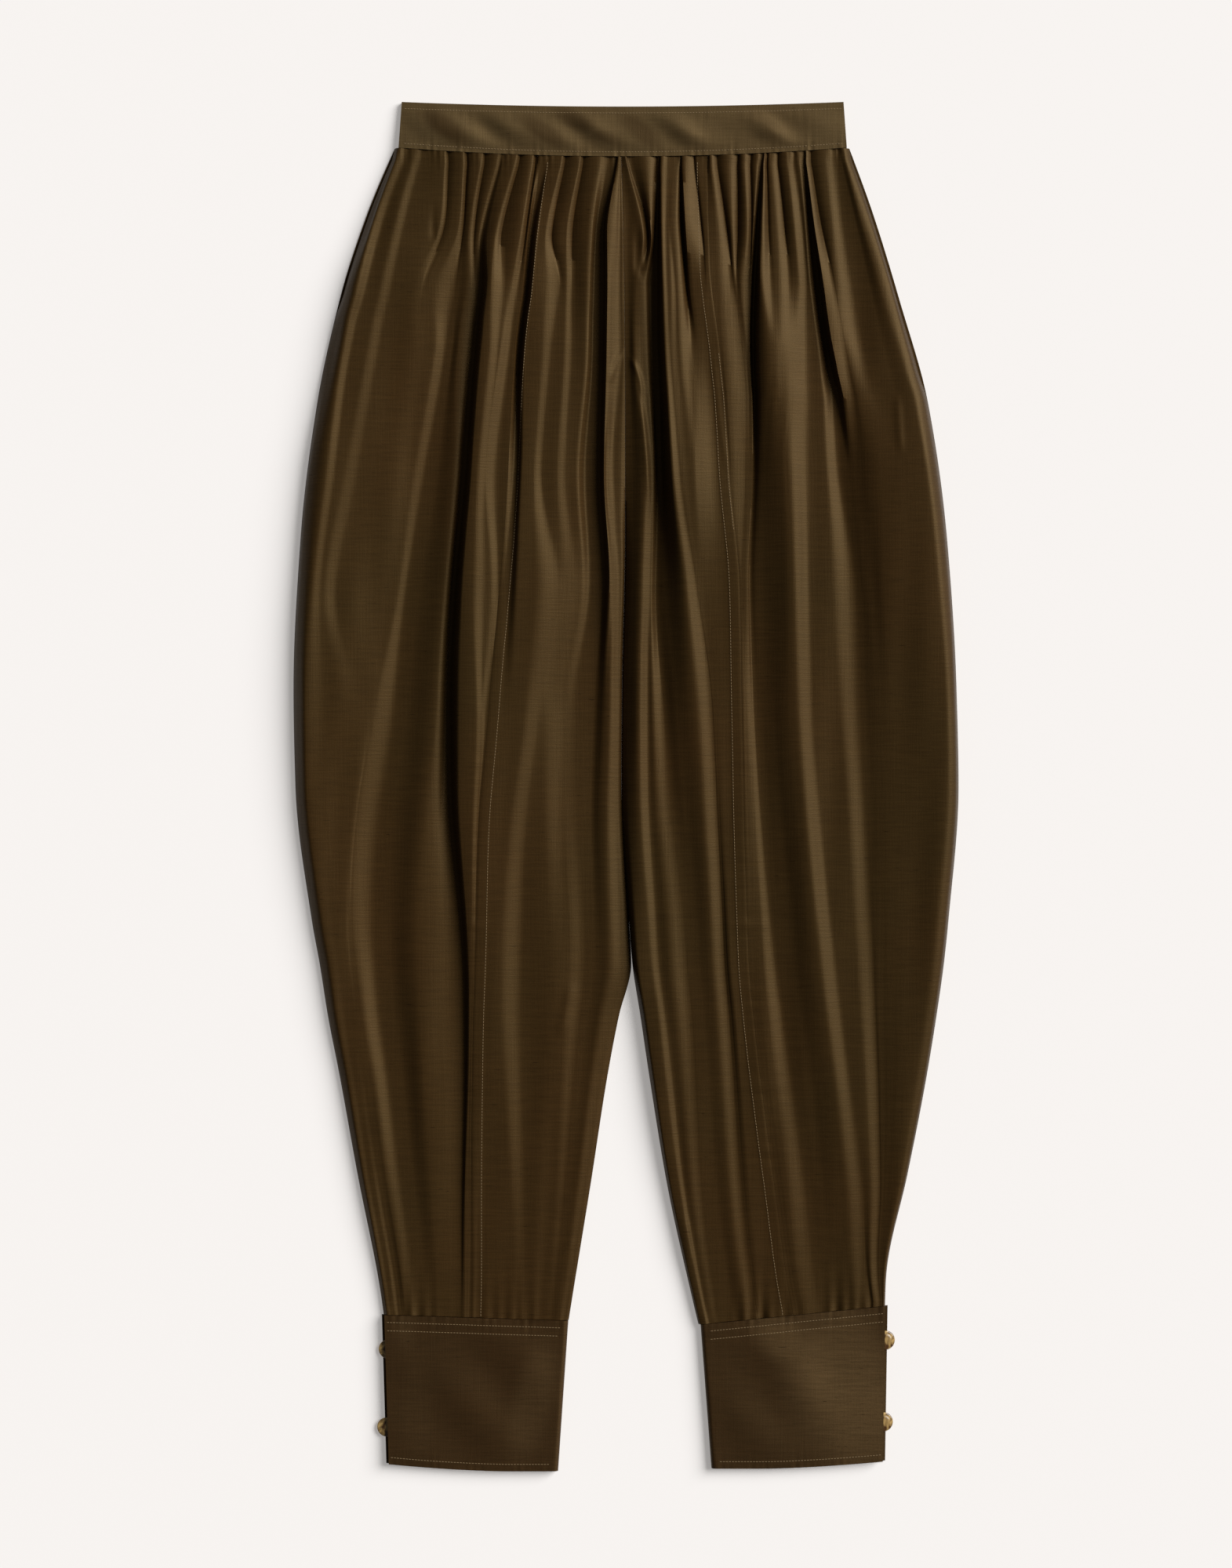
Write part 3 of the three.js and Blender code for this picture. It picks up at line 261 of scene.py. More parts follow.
# Pocket openings: levels of the top and of each side's lower end, how far they are set in, and the fades
POCKET = dict(top=482, left=362, right=300, set=1.8, top_fade=12, low_fade=25)


def pchip(x, y, at):
    """A smooth curve through each row of (x, y) that never overshoots it, at the same row of at."""
    x, y, at = np.atleast_2d(x), np.atleast_2d(y), np.atleast_2d(at)
    step = np.diff(x, axis=1)
    rise = np.diff(y, axis=1) / step
    slope = np.zeros_like(y)
    a = 2 * step[:, 1:] + step[:, :-1]
    b = step[:, 1:] + 2 * step[:, :-1]
    with np.errstate(divide="ignore", invalid="ignore"):
        mean = (a + b) / (a / rise[:, :-1] + b / rise[:, 1:])
    slope[:, 1:-1] = np.where(rise[:, :-1] * rise[:, 1:] > 0, mean, 0)
    slope[:, 0], slope[:, -1] = rise[:, 0], rise[:, -1]
    out = np.empty_like(at)
    for r in range(at.shape[0]):
        k = min(r, x.shape[0] - 1)
        v = np.clip(at[r], x[k, 0], x[k, -1])
        i = np.clip(np.searchsorted(x[k], v, side="right") - 1, 0, x.shape[1] - 2)
        h = step[k, i]
        t = (v - x[k, i]) / h
        s = 1 - t
        out[r] = (y[k, i] * (1 + 2 * t) * s * s + y[k, i + 1] * t * t * (3 - 2 * t)
                  + h * (slope[k, i] * t * s * s - slope[k, i + 1] * t * t * s))
    return out


def column(xs, ys, at):
    """A smooth curve through one column of a table, whichever way its levels run."""
    order = np.argsort(xs)
    return pchip(np.array(xs, float)[order], np.array(ys, float)[order], np.asarray(at, float))[0]


def smooth_step(v, low, high):
    """0 below low, 1 above high and a soft step between them."""
    t = np.clip((v - low) / (high - low), 0, 1)
    return t * t * (3 - 2 * t)


def outline(name, level):
    """One column of the outline table at any levels."""
    i = OUTLINE_COLUMNS.index(name)
    return column([row[0] for row in OUTLINE], [row[i] for row in OUTLINE], level)


HALF_WAIST = (BAND["right"] - BAND["left"]) / 2
MID_WAIST = (BAND["right"] + BAND["left"]) / 2


def waist_seam(x):
    """The level of the seam under the waistband."""
    across = (x - MID_WAIST) / (HALF_WAIST + BAND["flare"])
    return BAND["bottom"] + BAND["bottom_rise"] * np.minimum(across**2, 1)


def cuff_seam(cuff, x):
    """The level of the slanting seam above a cuff."""
    t = (x - cuff["out_top"]) / (cuff["in_top"] - cuff["out_top"])
    return cuff["top"] + (cuff["top_in"] - cuff["top"]) * np.clip(t, 0, 1)


def row_y(level, x, cuff):
    """A row's true level across the leg, so that its first and last rows lie along the seams."""
    near_waist = smooth_step(level, WAIST_SHIFT_FROM, TOP_LEVEL)
    near_cuff = 1 - smooth_step(level, BOTTOM_LEVEL, CUFF_SHIFT_FROM)
    to_waist = (waist_seam(x) - SEAM_GAP - TOP_LEVEL) * near_waist
    to_cuff = (cuff_seam(cuff, x) + SEAM_GAP - BOTTOM_LEVEL) * near_cuff
    return level + to_waist + to_cuff
SIDES = dict(
    left=dict(outer="left_out", inner="left_in", guide="left_guide", folds=LEFT_FOLDS, side=-1),
    right=dict(outer="right_out", inner="right_in", guide="right_in", folds=RIGHT_FOLDS, side=1),
)
# Points of the fronts: how far apart columns and rows are, and how many columns lie between two fold lines
COLUMN_STEP, ROW_STEP = 1.35, 2.4
LEAST_COLUMNS, MOST_COLUMNS = 3, 24

# Relief on the folds is whole above the second height of the cloth, and gone below the first
ROOM = dict(groove=(3.6, 5), folds=(4.4, 9), cuff=(4, 6), waist=(3.5, 5))

# The groove at the foot of each pleat: depth, width on either side, and the levels between which it fades
PLEAT_GROOVE = dict(depth=1.7, width=1.4, outer_width=0.8, low=375, high=440)

# Tucks with a rounded lower end: place, levels of the open and closed ends, half width, depth
TUCKS = [
    (-150.7, 462, 425, 3.4, 1.2),
    (9.6, 447, 398, 4.4, 1.7),
]
TUCK_FADE = dict(open=25, closed=9)

# Lesser creases: level and place of the top, middle and bottom, height (below 0 is a trough), half width
CREASES = [
    ((462, -54.4), (435, -53.8), (412, -52.6), 0.9, 1.8),
    ((344, 0), (332, -7), (313, -12.5), 1.0, 2.0),
    ((330, -10.5), (285, -13.2), (190, -8.5), 0.9, 2.0),
    ((340, 0), (326, 8), (300, 12), 1.0, 2.0),
    ((316, 9.5), (272, 14.8), (205, 18.5), 0.9, 2.0),
    ((-150, -39), (-175, -46), (-200, -51), 0.9, 5.0),
    ((350, 68), (300, 72), (240, 80), 0.4, 2.3),
    ((350, 76), (290, 80), (230, 86), 0.35, 2.0),
    ((310, 212), (282, 213), (255, 215), 0.7, 3.0),
    ((-318, -42), (-326, -47), (-338, -53), 0.8, 4.0),
    ((-352, -38), (-362, -46), (-372, -56), 0.9, 4.0),
    ((-330, 44), (-350, 47), (-380, 52), 0.7, 4.0),
]
# The share of a crease's length over which each end fades
CREASE_FADE = 0.3

# Slow waves all over, the raised strip of seam allowance, and the puckers along the seams
SLOW_WAVES = dict(height=0.3, count=7, length=34, seed=11)
SEAM_STRIP = dict(height=0.25, rise=1.2, full_to=7.6, gone_at=9.2)
SEAM_PUCKER = dict(height=0.18, length=17, reach=9, seed=5, starts_below=84, full_after=200)
CUFF_PUCKER = dict(height=0.8, length=13, reach=14, seed=21)
WAIST_PUCKER = dict(height=0.25, length=6, reach=7, seed=23)


def crease_height(x, y, top, middle, bottom, height, half_width):
    """A soft ridge or trough along a bent line, fading out at both ends."""
    levels = np.array([bottom[0], middle[0], top[0]], float)
    places = np.array([bottom[1], middle[1], top[1]], float)
    bend = np.polyfit(levels, places, 2)
    line = np.polyval(bend, np.clip(y, levels[0], levels[-1]))
    fade = (levels[-1] - levels[0]) * CREASE_FADE
    rising = smooth_step(y, levels[0], levels[0] + fade)
    falling = 1 - smooth_step(y, levels[-1] - fade, levels[-1])
    return height * rising * falling * np.exp(-(((x - line) / half_width) ** 2))


def tuck_depth(x, y, place, open_end, closed_end, half_width, depth):
    """A trough that is open at its top end and rounded at its lower one."""
    closed = smooth_step(y, closed_end, closed_end + TUCK_FADE["closed"])
    opened = 1 - smooth_step(y, open_end - TUCK_FADE["open"], open_end)
    across = np.clip(1 - ((x - place) / half_width) ** 2, 0, 1)
    return depth * closed * opened * across**1.5


def waves(x, y, count, length, seed):
    """Slow uneven relief: a sum of long waves, most of them running down the legs."""
    draw = np.random.default_rng(seed)
    out = np.zeros_like(x)
    for _ in range(count):
        angle = draw.normal(0, 0.35)
        size = length * draw.uniform(0.6, 1.6)
        phase = draw.uniform(0, 2 * np.pi)
        out += np.sin(2 * np.pi * (x * np.cos(angle) + 0.22 * y * np.sin(angle)) / size + phase)
    return out / math.sqrt(count)


def pucker(along, away, length, reach, seed):
    """Short uneven pulls across a seam, strongest on it."""
    draw = np.random.default_rng(seed)
    out = np.zeros_like(along)
    for k in range(4):
        size = length * (0.7 + 0.35 * k) * draw.uniform(0.9, 1.1)
        out += np.sin(2 * np.pi * along / size + draw.uniform(0, 2 * np.pi)) / (1 + 0.6 * k)
    slow = np.sin(2 * np.pi * along / (length * draw.uniform(3.6, 5.2)) + draw.uniform(0, 2 * np.pi))
    return out * (0.55 + 0.45 * slow) * np.exp(-np.abs(away) / reach)


def puckers(sizes, along, away):
    """The puckers of one row of the sizes above, with their height."""
    return sizes["height"] * pucker(along, away, sizes["length"], sizes["reach"], sizes["seed"])


def side_edge(side, levels):
    """The front's outer edge: the side seam, set in where the pocket parts it."""
    half = SIDES[side]
    below = smooth_step(levels, POCKET[side], POCKET[side] + POCKET["low_fade"])
    above = smooth_step(levels, POCKET["top"], POCKET["top"] + POCKET["top_fade"])
    return outline(half["outer"], levels) - half["side"] * (SEAM_GAP + POCKET["set"] * below * (1 - above))


def fold_lines(side, levels, edge):
    """How far in from the side each fold line runs at each level, and how high it lies."""
    half = SIDES[side]
    inner, guide = outline(half["inner"], levels), outline(half["guide"], levels)
    share = np.stack([column(LEVELS, fold[1], levels) for fold in half["folds"]], axis=1) / 1000
    height = np.stack([column(LEVELS, fold[2], levels) for fold in half["folds"]], axis=1)
    count = len(half["folds"])
    for i in range(1, count):
        share[:, i] = np.maximum(share[:, i], share[:, i - 1] + LEAST_SHARE)
    share[:, -1] = 1
    for i in range(count - 2, 0, -1):
        share[:, i] = np.minimum(share[:, i], share[:, i + 1] - LEAST_SHARE)
    target = guide[:, None] + (inner - guide)[:, None] * share**GUIDE_POWER
    return np.abs(target - edge[:, None]) * share, height


def column_places(run):
    """Where the columns of points lie: at each fold line, a whole number, and evenly between them."""
    spans = np.diff(run.max(axis=0))
    counts = np.clip(np.round(spans / COLUMN_STEP), LEAST_COLUMNS, MOST_COLUMNS).astype(int)
    return np.concatenate([i + np.arange(n) / n for i, n in enumerate(counts)] + [[float(len(counts))]])


def pleat_grooves(side, x, level, edge, run):
    """How deep in the groove at the foot of a pleat each point lies, from 0 to 1."""
    facing = SIDES[side]["side"]
    groove = np.zeros_like(x)
    for i, (name, _, _) in enumerate(SIDES[side]["folds"]):
        if "pleat" in name and name.endswith("foot"):
            foot = edge - facing * run[:, i]
            inside = facing * (foot[:, None] - x)
            reach = np.where(inside < 0, PLEAT_GROOVE["outer_width"], PLEAT_GROOVE["width"])
            groove = np.maximum(groove, np.exp(-np.abs(inside) / reach))
    return groove * smooth_step(level, PLEAT_GROOVE["low"], PLEAT_GROOVE["high"])


def add_relief(side, x, y, z, level, seam):
    """The cloth's height with its tucks, creases, slow waves and puckers."""
    room = smooth_step(z, *ROOM["folds"])
    for tuck in TUCKS:
        z = z - tuck_depth(x, y, *tuck) * room
    for crease in CREASES:
        z = z + crease_height(x, y, *crease) * room
    slow = waves(x, y, SLOW_WAVES["count"], SLOW_WAVES["length"], SLOW_WAVES["seed"] + len(side))
    z = z + SLOW_WAVES["height"] * slow * room
    away = x - x[:, seam : seam + 1]
    inward = -SIDES[side]["side"] * away
    strip = smooth_step(inward, 0, SEAM_STRIP["rise"])
    strip = strip * (1 - smooth_step(inward, SEAM_STRIP["full_to"], SEAM_STRIP["gone_at"]))
    z = z + SEAM_STRIP["height"] * strip * room
    low = smooth_step(SEAM_PUCKER["starts_below"] - level, 0, SEAM_PUCKER["full_after"])
    z = z + puckers(SEAM_PUCKER, y, away) * room * low
    z = z + puckers(CUFF_PUCKER, x, level - BOTTOM_LEVEL) * smooth_step(z, *ROOM["cuff"])
    return z + puckers(WAIST_PUCKER, x, TOP_LEVEL - level) * smooth_step(z, *ROOM["waist"])


def front_grid(side):
    """The top face of one front as rows of points in millimetres, and the column that is the panel seam."""
    half = SIDES[side]
    levels = np.linspace(TOP_LEVEL, BOTTOM_LEVEL, int((TOP_LEVEL - BOTTOM_LEVEL) / ROW_STEP))
    edge = side_edge(side, levels)
    run, height = fold_lines(side, levels, edge)
    places = column_places(run)
    line = np.clip(places.astype(int), 0, len(half["folds"]) - 2)
    part = places - line
    fine = run[:, line] * (1 - part) + run[:, line + 1] * part
    x = edge[:, None] - half["side"] * fine
    z = pchip(run, height, fine)
    level = np.repeat(levels[:, None], x.shape[1], axis=1)
    y = row_y(level, x, CUFFS[side])
    names = [fold[0] for fold in half["folds"]]
    seam = int(np.where(places == names.index("seam"))[0][0])
    z -= PLEAT_GROOVE["depth"] * pleat_grooves(side, x, level, edge, run) * smooth_step(z, *ROOM["groove"])
    z = add_relief(side, x, y, z, level, seam)
    return np.stack([x, y, z], axis=-1), seam


def under_face(top):
    """The underside of a wall: thicker upright where it is steep, and never below the panel it lies on."""
    run = np.abs(np.gradient(top[..., 0], axis=1))
    slope = np.abs(np.gradient(top[..., 2], axis=1)) / np.maximum(run, 0.2)
    upright = np.minimum(SHELL * np.hypot(1, slope), STEEPEST_SHELL)
    under = top.copy()
    under[..., 2] = np.maximum(top[..., 2] - upright, FLOOR_WALL)
    return under


def mesh_object(name, points, faces, material, sharp=65):
    """A smooth-shaded object from points in metres and faces that all have the same number of corners."""
    mesh = bpy.data.meshes.new(name)
    corners = faces.shape[1]
    mesh.vertices.add(len(points))
    mesh.vertices.foreach_set("co", np.ascontiguousarray(points, np.float32).ravel())
    mesh.loops.add(faces.size)
    mesh.loops.foreach_set("vertex_index", faces.ravel().astype(np.int32))
    mesh.polygons.add(len(faces))
    mesh.polygons.foreach_set("loop_start", np.arange(0, faces.size, corners, dtype=np.int32))
    mesh.polygons.foreach_set("use_smooth", np.ones(len(faces), bool))
    mesh.update(calc_edges=True)
    mesh.set_sharp_from_angle(angle=math.radians(sharp))
    mesh.materials.append(material)
    obj = bpy.data.objects.new(name, mesh)
    bpy.context.scene.collection.objects.link(obj)
    return obj


def closed_shell(name, top, bottom, material):
    """A closed wall between two grids of points in millimetres, the first of which faces out."""
    rows, cols = top.shape[:2]
    points = np.concatenate([top.reshape(-1, 3), bottom.reshape(-1, 3)]) * MM
    at = np.arange(rows * cols).reshape(rows, cols)
    under = at + rows * cols

    def quads(*corners):
        return np.stack(corners, axis=-1).reshape(-1, 4)

    faces = np.concatenate([
        quads(at[:-1, :-1], at[1:, :-1], at[1:, 1:], at[:-1, 1:]),
        quads(under[:-1, :-1], under[:-1, 1:], under[1:, 1:], under[1:, :-1]),
        quads(at[:-1, 0], under[:-1, 0], under[1:, 0], at[1:, 0]),
        quads(at[:-1, -1], at[1:, -1], under[1:, -1], under[:-1, -1]),
        quads(at[0, :-1], at[0, 1:], under[0, 1:], under[0, :-1]),
        quads(at[-1, :-1], under[-1, :-1], under[-1, 1:], at[-1, 1:]),
    ])
    return mesh_object(name, points, faces, material)


def rightward(*grids):
    """The same grids with their columns running towards +X."""
    turn = grids[0][0, 0, 0] > grids[0][0, -1, 0]
    return [grid[:, ::-1] if turn else grid for grid in grids]


def wear(obj, slot, *nodes):
    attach(obj, "root")
    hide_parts(*nodes)
    return obj


# Sewn panels lie closer together here than the solids do
FINE_GAP, BACK_GAP = 0.1, 0.02
# The gap that the outline leaves between its two inner edges
CENTRE_GAP = 0.6
# Topstitching beside the panel seam: how far in from the seam, and between which levels
SEAM_STITCH = dict(
    left=[(8.0, TOP_LEVEL, BOTTOM_LEVEL)],
    right=[(8.0, TOP_LEVEL, BOTTOM_LEVEL), (1.2, 340, 200)],
)


def add_front(side):
    """Both panels of one front, and the paths of the stitches beside the seam between them."""
    grid, seam = front_grid(side)
    inward = -SIDES[side]["side"]
    paths = [
        [on_grid(grid, row, grid[row, seam, 0] + inward * away) for row in range(2, grid.shape[0])
         if low <= grid[row, seam, 1] <= high]
        for away, high, low in SEAM_STITCH[side]
    ]
    outer, inner = grid[:, : seam + 1].copy(), grid[:, seam:].copy()
    outer[:, -1, 0] -= inward * FINE_GAP / 2
    inner[:, 0, 0] += inward * FINE_GAP / 2
    inner[:, -1, 0] += inward * (CENTRE_GAP - FINE_GAP) / 2
    for part, top in (("outer", outer), ("inner", inner)):
        node = f"front_{part}_{side}"
        faces = rightward(top, under_face(top))
        wear(closed_shell("silk_" + node, *faces, silk), "silk", node)
    return paths


# Back panels lie flat: only the lines of their own seams and folds are pressed in underneath.
# Each line has its share of the width and its depth, and bends a little on its way down.
BACK_STEP, BACK_COLUMNS = 4.0, 90
BACK_LINES = [(0.1, 0.35), (0.22, 0.5), (0.34, 0.3), (0.52, 0.45), (0.64, 0.3), (0.77, 0.5), (0.9, 0.35)]
BACK_LINE = dict(width=0.016, bend=0.012, bend_length=90, least=0.25)


def add_back(side):
    half, cuff = SIDES[side], CUFFS[side]
    levels = np.linspace(TOP_LEVEL, BOTTOM_LEVEL, int((TOP_LEVEL - BOTTOM_LEVEL) / BACK_STEP))
    inner, outer = outline(half["inner"], levels), outline(half["outer"], levels)
    inner = inner - half["side"] * (CENTRE_GAP - BACK_GAP) / 2
    t = np.linspace(0, 1, BACK_COLUMNS)[None, :]
    x = outer[:, None] + (inner - outer)[:, None] * t
    level = np.repeat(levels[:, None], x.shape[1], axis=1)
    y = row_y(level, x, cuff)
    top = np.stack([x, y, np.full_like(x, CLOTH)], axis=-1)
    lift = np.zeros_like(x)
    for share, depth in BACK_LINES:
        near_top = smooth_step(level, -200 + 260 * share, 420)
        line = share + BACK_LINE["bend"] * np.sin(level / BACK_LINE["bend_length"] + 9 * share)
        strength = BACK_LINE["least"] + (1 - BACK_LINE["least"]) * near_top
        lift += depth * strength * np.exp(-(((t - line) / BACK_LINE["width"]) ** 2))
    under = np.stack([x, y, lift], axis=-1)
    top, under = rightward(top, under)
    return wear(closed_shell(f"silk_back_{side}", top, under, silk), "silk", f"back_{side}")


# Waistband: soft slanting waves across it (length, slant, height, phase), and small pulls along its seams
BAND_STEP, BAND_ROW_STEP = 1.6, 1.2
BAND_RISE = 2.4
BAND_WAVES = [
    (62, 1.3, 1.1, 0.4),
    (34, 1.0, 0.45, 2.1),
    (23, 0.8, 0.12, 4.0),
]
BAND_STITCH = dict(top=5.2, bottom=3.4)
BAND_TOP_PUCKER = dict(height=0.2, length=9, reach=4, seed=41)
BAND_SEAM_PUCKER = dict(height=0.26, length=7, reach=7, seed=43)
# The air between the waistband's two halves
BAND_AIR = 0.15


def band_grid(high, swell):
    """One face of the waistband, from its top edge down to the seam."""
    across = np.linspace(-1, 1, int(2 * HALF_WAIST / BAND_STEP))[None, :]
    v = np.linspace(0, 1, int((BAND["top"] - BAND["bottom"]) / BAND_ROW_STEP))[:, None]
    x = MID_WAIST + across * (HALF_WAIST + BAND["flare"] * v)
    upper = BAND["top"] + BAND["top_rise"] * across**2
    lower = BAND["bottom"] + BAND["bottom_rise"] * across**2
    y = upper + (lower - upper) * v
    slack = np.sin(np.pi * np.clip((v - 0.08) / 0.84, 0, 1)) * np.minimum(1, 6 * (1 - np.abs(across)))
    z = high + swell * BAND_RISE * v + 0 * x
    for length, slant, height, phase in BAND_WAVES:
        turn = 2 * np.pi * (x + slant * (y - BAND["bottom"])) / length + phase
        z += swell * height * slack * (1 + np.sin(turn))
    z += swell * puckers(BAND_TOP_PUCKER, x, upper - y - BAND_STITCH["top"]) * slack
    z += swell * puckers(BAND_SEAM_PUCKER, x, y - lower)
    return np.stack([x, y, z], axis=-1)


def add_waistband():
    """Both halves of the waistband, and the top face of the front one."""
    low = band_grid(BAND_CLOTH, 0)
    floor = low.copy()
    floor[..., 2] = 0
    wear(closed_shell("silk_waistband_back", low, floor, band_silk), "silk", "waistband_back")
    top = band_grid(2 * BAND_CLOTH + SEAM_GAP, 1)
    under = top.copy()
    under[..., 2] = np.maximum(top[..., 2] - BAND_CLOTH, BAND_CLOTH + BAND_AIR)
    wear(closed_shell("silk_waistband_front", top, under, band_silk), "silk", "waistband_front")
    return top


# Cuffs: one band round the leg's end, whose hem rises a little towards the buttons
HEM_RISE = dict(height=5.5, flat=0.3, power=1.6)
CUFF_WAVES = [(53, 0.5, 0.3, 0.5), (97, 1.2, 0.6, 3.5)]
CUFF_HEIGHT = 118
CUFF_TOP_PUCKER = dict(height=0.2, length=8, reach=8, seed=51)
CUFF_HEM_PUCKER = dict(height=0.13, length=8, reach=6, seed=52)
# Points round the cuff: on the upper face, round the bend and on the lower face
CUFF_COLUMNS = dict(over=96, bend=14, back=40)
CUFF_ROWS = np.concatenate([[0, 0.004], np.linspace(0.012, 0.988, 76), [0.996, 1]])[:, None]
# Topstitching on the cuffs: whether it is measured from the top seam or from the hem, and how far away it is
CUFF_STITCH = [(True, 5.5), (True, 12.0), (False, 5.5)]


def cuff_hem(cuff, x):
    """The hem's level, which rises on the outer part of the cuff."""
    outward = np.clip((x - cuff["in_bottom"]) / (cuff["out_bottom"] - cuff["in_bottom"]), 0, 1)
    rising = np.clip((outward - HEM_RISE["flat"]) / (1 - HEM_RISE["flat"]), 0, 1)
    return cuff["hem"] + HEM_RISE["height"] * rising ** HEM_RISE["power"]


def cuff_grids(side):
    """The outer and inner faces of one cuff, from its seam down to the hem."""
    cuff, facing = CUFFS[side], SIDES[side]["side"]
    v = CUFF_ROWS
    out = cuff["out_top"] + (cuff["out_bottom"] - cuff["out_top"]) * v
    inn = cuff["in_top"] + (cuff["in_bottom"] - cuff["in_top"]) * v
    radius = CUFF["wall"] + CUFF["hollow"] / 2
    bend = inn + facing * radius
    over = np.linspace(0, 1, CUFF_COLUMNS["over"])[None, :]
    angle = np.pi * (0.5 - np.linspace(0, 1, CUFF_COLUMNS["bend"])[1:-1])[None, :]
    back = np.linspace(0, 1, CUFF_COLUMNS["back"])[None, :]

    def loop(wall):
        x = np.concatenate([
            out + (bend - out) * over,
            bend - facing * wall * np.cos(angle),
            bend + (out + facing * CUFF["underlap"] - bend) * back,
        ], axis=1)
        z = np.concatenate([
            np.full_like(out * over, radius + wall),
            np.broadcast_to(radius + wall * np.sin(angle), (len(v), angle.shape[1])),
            np.full_like(out * back, radius - wall),
        ], axis=1)
        seam = cuff_seam(cuff, x)
        return np.stack([x, seam + (cuff_hem(cuff, x) - seam) * v, z], axis=-1)

    outside, inside = loop(radius), loop(CUFF["hollow"] / 2)
    flat = over.shape[1]
    x, y = outside[:, :flat, 0], outside[:, :flat, 1]
    slack = np.sin(np.pi * v) ** 0.6 * np.minimum(1, 7 * over * (1 - over) + 0.2)
    lift = np.zeros_like(x)
    for length, slant, height, phase in CUFF_WAVES:
        lift += height * np.sin(2 * np.pi * (x + slant * y) / length + phase) * slack
    lift += puckers(CUFF_TOP_PUCKER, x, v * CUFF_HEIGHT)
    lift += puckers(CUFF_HEM_PUCKER, x, (1 - v) * CUFF_HEIGHT)
    outside[:, :flat, 2] += lift
    inside[:, :flat, 2] += lift
    return outside, inside


def add_cuff(side):
    """One cuff, and the paths of its stitches."""
    outside, inside = cuff_grids(side)
    paths = []
    for from_top, away in CUFF_STITCH:
        path = []
        for c in range(1, CUFF_COLUMNS["over"] - 2):
            x, y, z = outside[:, c].T
            level = y[0] - away if from_top else y[-1] + away
            path.append((np.interp(-level, -y, x), level, np.interp(-level, -y, z)))
        paths.append(path)
    if SIDES[side]["side"] > 0:
        outside, inside = outside[:, ::-1], inside[:, ::-1]
    wear(closed_shell(f"silk_cuff_{side}", outside, inside, cuff_silk), "silk", f"cuff_{side}")
    return paths


# Buttons: name, place, height, outward tilt in degrees
BUTTON_PLACES = [
    ("left_upper", -186.2, -441, 3.2, -6),
    ("left_lower", -187.4, -502, 3.2, -7),
    ("right_upper", 203.4, -434, 3.2, 10),
    ("right_lower", 201.9, -498, 3.2, 10),
]
BUTTON_SIDES = 64


def button_profile():
    """Half of a button's section from the middle of its back to the middle of its domed face."""
    r, rim, dome, back = (BUTTON[k] for k in ("radius", "rim", "dome", "back"))
    return np.array([
        (0, -back), (r * 0.4, -back), (r * 0.7, -back), (r * 0.86, -back * 0.8), (r * 0.95, -back * 0.5),
        (r * 0.99, -back * 0.2), (r, 0.1), (r * 0.985, rim * 0.45), (r * 0.95, rim * 0.75),
        (r * 0.88, rim * 0.98), (r * 0.8, rim), (r * 0.75, rim * 0.99), (r * 0.62, rim + (dome - rim) * 0.45),
        (r * 0.42, rim + (dome - rim) * 0.8), (r * 0.2, rim + (dome - rim) * 0.96), (0, dome),
    ])


def add_button(name, x, y, z, tilt):
    profile = button_profile()
    turns = np.linspace(0, 2 * np.pi, BUTTON_SIDES, endpoint=False)
    ring = profile[1:-1]
    px = ring[:, None, 0] * np.cos(turns)
    py = ring[:, None, 0] * np.sin(turns)
    pz = np.repeat(ring[:, 1:2], BUTTON_SIDES, axis=1)
    middles = [(0, 0, profile[0, 1]), (0, 0, profile[-1, 1])]
    points = np.concatenate([np.stack([px, py, pz], -1).reshape(-1, 3), middles]) * MM
    at = np.arange(len(ring) * BUTTON_SIDES).reshape(len(ring), BUTTON_SIDES)
    after = np.roll(at, -1, axis=1)
    last = len(points)
    sides = np.stack([at[:-1], after[:-1], after[1:], at[1:]], -1).reshape(-1, 4)
    low = [(last - 2, int(b), int(a)) for a, b in zip(at[0], after[0])]
    high = [(last - 1, int(a), int(b)) for a, b in zip(at[-1], after[-1])]
    mesh = bpy.data.meshes.new("horn_" + name)
    mesh.from_pydata(points.tolist(), [], sides.tolist() + low + high)
    mesh.materials.append(horn)
    mesh.shade_smooth()
    obj = bpy.data.objects.new("horn_" + name, mesh)
    bpy.context.scene.collection.objects.link(obj)
    obj.location = (x * MM, y * MM, z * MM)
    obj.rotation_euler = (0, math.radians(tilt), 0)
    return wear(obj, "button_horn", "button_" + name)


# Stitches: small rounded bars sunk a little into the cloth
STITCH = dict(pitch=2.35, length=1.75, width=0.5, height=0.34, sides=6, sink=0.1)
# Their rings: place along the bar as a share of its length, and size as a share of its section
STITCH_RINGS = [(-0.5, 0.35), (-0.36, 1.0), (0.36, 1.0), (0.5, 0.35)]
# The direction of a stitch is taken over this much of the path on either side
STITCH_REACH = 0.6


def stitch_bar():
    """One stitch about the origin, along +X: its points in millimetres, and its faces."""
    n = STITCH["sides"]
    turns = np.linspace(0, 2 * np.pi, n, endpoint=False)
    half_width, half_height = STITCH["width"] / 2, STITCH["height"] / 2
    bar = np.array([
        (at * STITCH["length"], size * half_width * np.cos(t), size * half_height * np.sin(t))
        for at, size in STITCH_RINGS for t in turns
    ])
    quads = [(r * n + k, r * n + (k + 1) % n, (r + 1) * n + (k + 1) % n, (r + 1) * n + k)
             for r in range(len(STITCH_RINGS) - 1) for k in range(n)]
    ends = [(0, n - 1, n - 2, 1), (1, n - 2, 3, 2), (3 * n, 3 * n + 1, 4 * n - 2, 4 * n - 1),
            (3 * n + 1, 3 * n + 2, 3 * n + 3, 4 * n - 2)]
    return bar, np.array(quads + ends)


